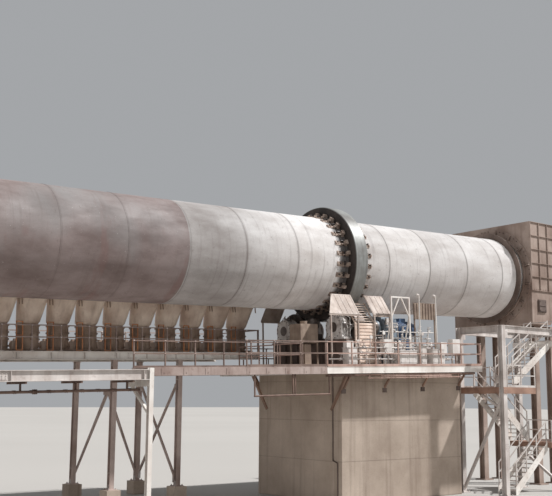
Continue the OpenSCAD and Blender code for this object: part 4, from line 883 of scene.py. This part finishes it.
def walkway_details():
    """Grating bars, rail feet and end plates on the walkway."""
    k = Kit()
    u0, u1, y0, y1 = -5.8, -DECK_DOWN, -DECK_Y, -1.15
    length, mid, front_rail = u1 - u0, (y0 + y1) / 2, 2.1
    tread_bars(k, u0 + 0.05, 0.06, int((length - 0.1) / 0.06), (0.006, y1 - y0 - 0.02, 0.005), mid)
    for y in (y0 + 0.02, mid, y1 - 0.02):
        k.box((length - 0.04, 0.006, 0.008), T((u0 + u1) / 2, y, 0.004))
    rail_feet(k, T(u1 - front_rail, y0 + RAIL_INSET, 0), front_rail - RAIL_INSET)
    rail_feet(k, T(u0 + RAIL_INSET, y1 - RAIL_INSET - RAIL_BAR, 0), length - 2 * RAIL_INSET)
    for u in spread(u0 + 0.15, u1 - 0.15, 9):
        k.box((0.01, 0.006, 0.11), T(u, y0 - 0.003, -0.075))
        k.bolt(T(u + 0.06, y0, -0.1) @ R(90, "X"), 0.008, 0.008)
    k.done("walkway_trim", "painted_steel", on_deck(), paint="dusty_paint")


def stair_details():
    """Bolts on the tower's posts, bars on its top landing, and grating, nosings and bolts on its treads."""
    k = Kit()
    for (x, way), y in product(((TOWER_X, 1), (TOWER_X + TOWER_L, -1)), (-2.5, -1.2)):
        for u, v in product((-0.1, 0.1), repeat=2):
            k.bolt(T(x + u, y + v, 0.02), 0.014, 0.024)
        for z, a, h in product((2.36, 1.1), (-0.035, 0.035), (0, 0.05, 0.1)):
            k.bolt(T(x + a, y - 0.066, z + h) @ R(90, "X"), 0.009, 0.009)
        k.box((0.2, 0.012, 0.15), T(x + way * 0.06, y - 0.052, 3.78))
    tread_bars(k, TOWER_X + 0.1, 0.06, int(1.16 / 0.06), (0.006, 1.8, 0.004), -1.6, 2.525)

    for x0, y, z0, run, rise, way in ((TOWER_X + 0.43, -2.455, 0.0, 1.29, 1.196, 1),
                                      (TOWER_X + 1.72, -1.905, 1.2, 1.459, 1.321, -1),
                                      (TOWER_X + 0.43, -2.445, 2.525, 1.53, 1.171, 1)):
        n = max(2, round(rise / 0.1))
        for i in range(1, n):
            u, z = x0 + way * i * run / n, z0 + i * rise / n + 0.011
            for j in range(6):
                k.box((0.004, 0.5, 0.004), T(u - 0.04 + j * 0.016, y + 0.265, z))
            k.box((0.008, 0.5, 0.022), T(u - way * 0.052, y + 0.265, z - 0.011))
            for v, turn in ((-0.003, 90), (0.533, -90)):
                k.bolt(T(u, y + v, z - 0.02) @ R(turn, "X"), 0.006, 0.006)
    k.done("stair_trim", "painted_steel")


# Stage, light and camera

def stage():
    """A plain pale floor, an even world, a sun from the photo's side and a faint broad fill."""
    bpy.ops.mesh.primitive_plane_add(size=400, location=(0, 0, -0.002))
    floor = bpy.context.object
    floor.name = "floor"
    g = Graph("floor")
    col = g.mix(g.step(g.noise(0.05, 2), 0.35, 0.65), (168, 164, 159), (164, 160, 155))
    floor.data.materials.append(g.finish(col, 0.9))
    scene.world = bpy.data.worlds.new("studio")
    scene.world.use_nodes = True
    sky = scene.world.node_tree.nodes["Background"]
    sky.inputs["Color"].default_value = (*srgb(236, 239, 243), 1)
    sky.inputs["Strength"].default_value = 0.44
    for name, energy, direction, angle in (("key", 5.2, (-0.6, 0.47, -0.93), 2),
                                           ("fill", 0.25, (0.7, 0.5, -0.35), 40)):
        data = bpy.data.lights.new(name, "SUN")
        data.energy = energy
        data.angle = math.radians(angle)
        lamp = bpy.data.objects.new(name, data)
        lamp.rotation_euler = Vector(direction).to_track_quat("-Z", "Y").to_euler()
        scene.collection.objects.link(lamp)
    scene.view_settings.view_transform = "Standard"
    scene.view_settings.exposure = 0.0


def camera():
    """The photo's viewpoint: yaw from the kiln's axis, pitch and roll, and the focal length in its pixels."""
    yaw, pitch, roll = (math.radians(v) for v in (51.568, 9.141, 0.353))
    focal, width = 941.39, 552
    ahead = Vector((math.cos(yaw) * math.cos(pitch), math.sin(yaw) * math.cos(pitch), math.sin(pitch)))
    side = Vector((math.sin(yaw), -math.cos(yaw), 0))
    up = side.cross(ahead)
    right = side * math.cos(roll) + up * math.sin(roll)
    top = up * math.cos(roll) - side * math.sin(roll)
    data = bpy.data.cameras.new("camera")
    data.sensor_width = 36
    data.lens = focal * data.sensor_width / width
    data.clip_end = 500
    cam = bpy.data.objects.new("camera", data)
    m = Matrix((right, top, -ahead)).transposed().to_4x4()
    m.translation = (-14.797, -16.825, 2.203)
    cam.matrix_world = m
    scene.collection.objects.link(cam)
    scene.camera = cam


for make in (kiln_details, roller_details, station_details, shield_details, guard_details, drive_details,
             flange_details, housing_details, platform_details, machinery_details, gallery_details, leg_details,
             girder_details, walkway_details, stair_details, pier_details, stage, camera):
    make()
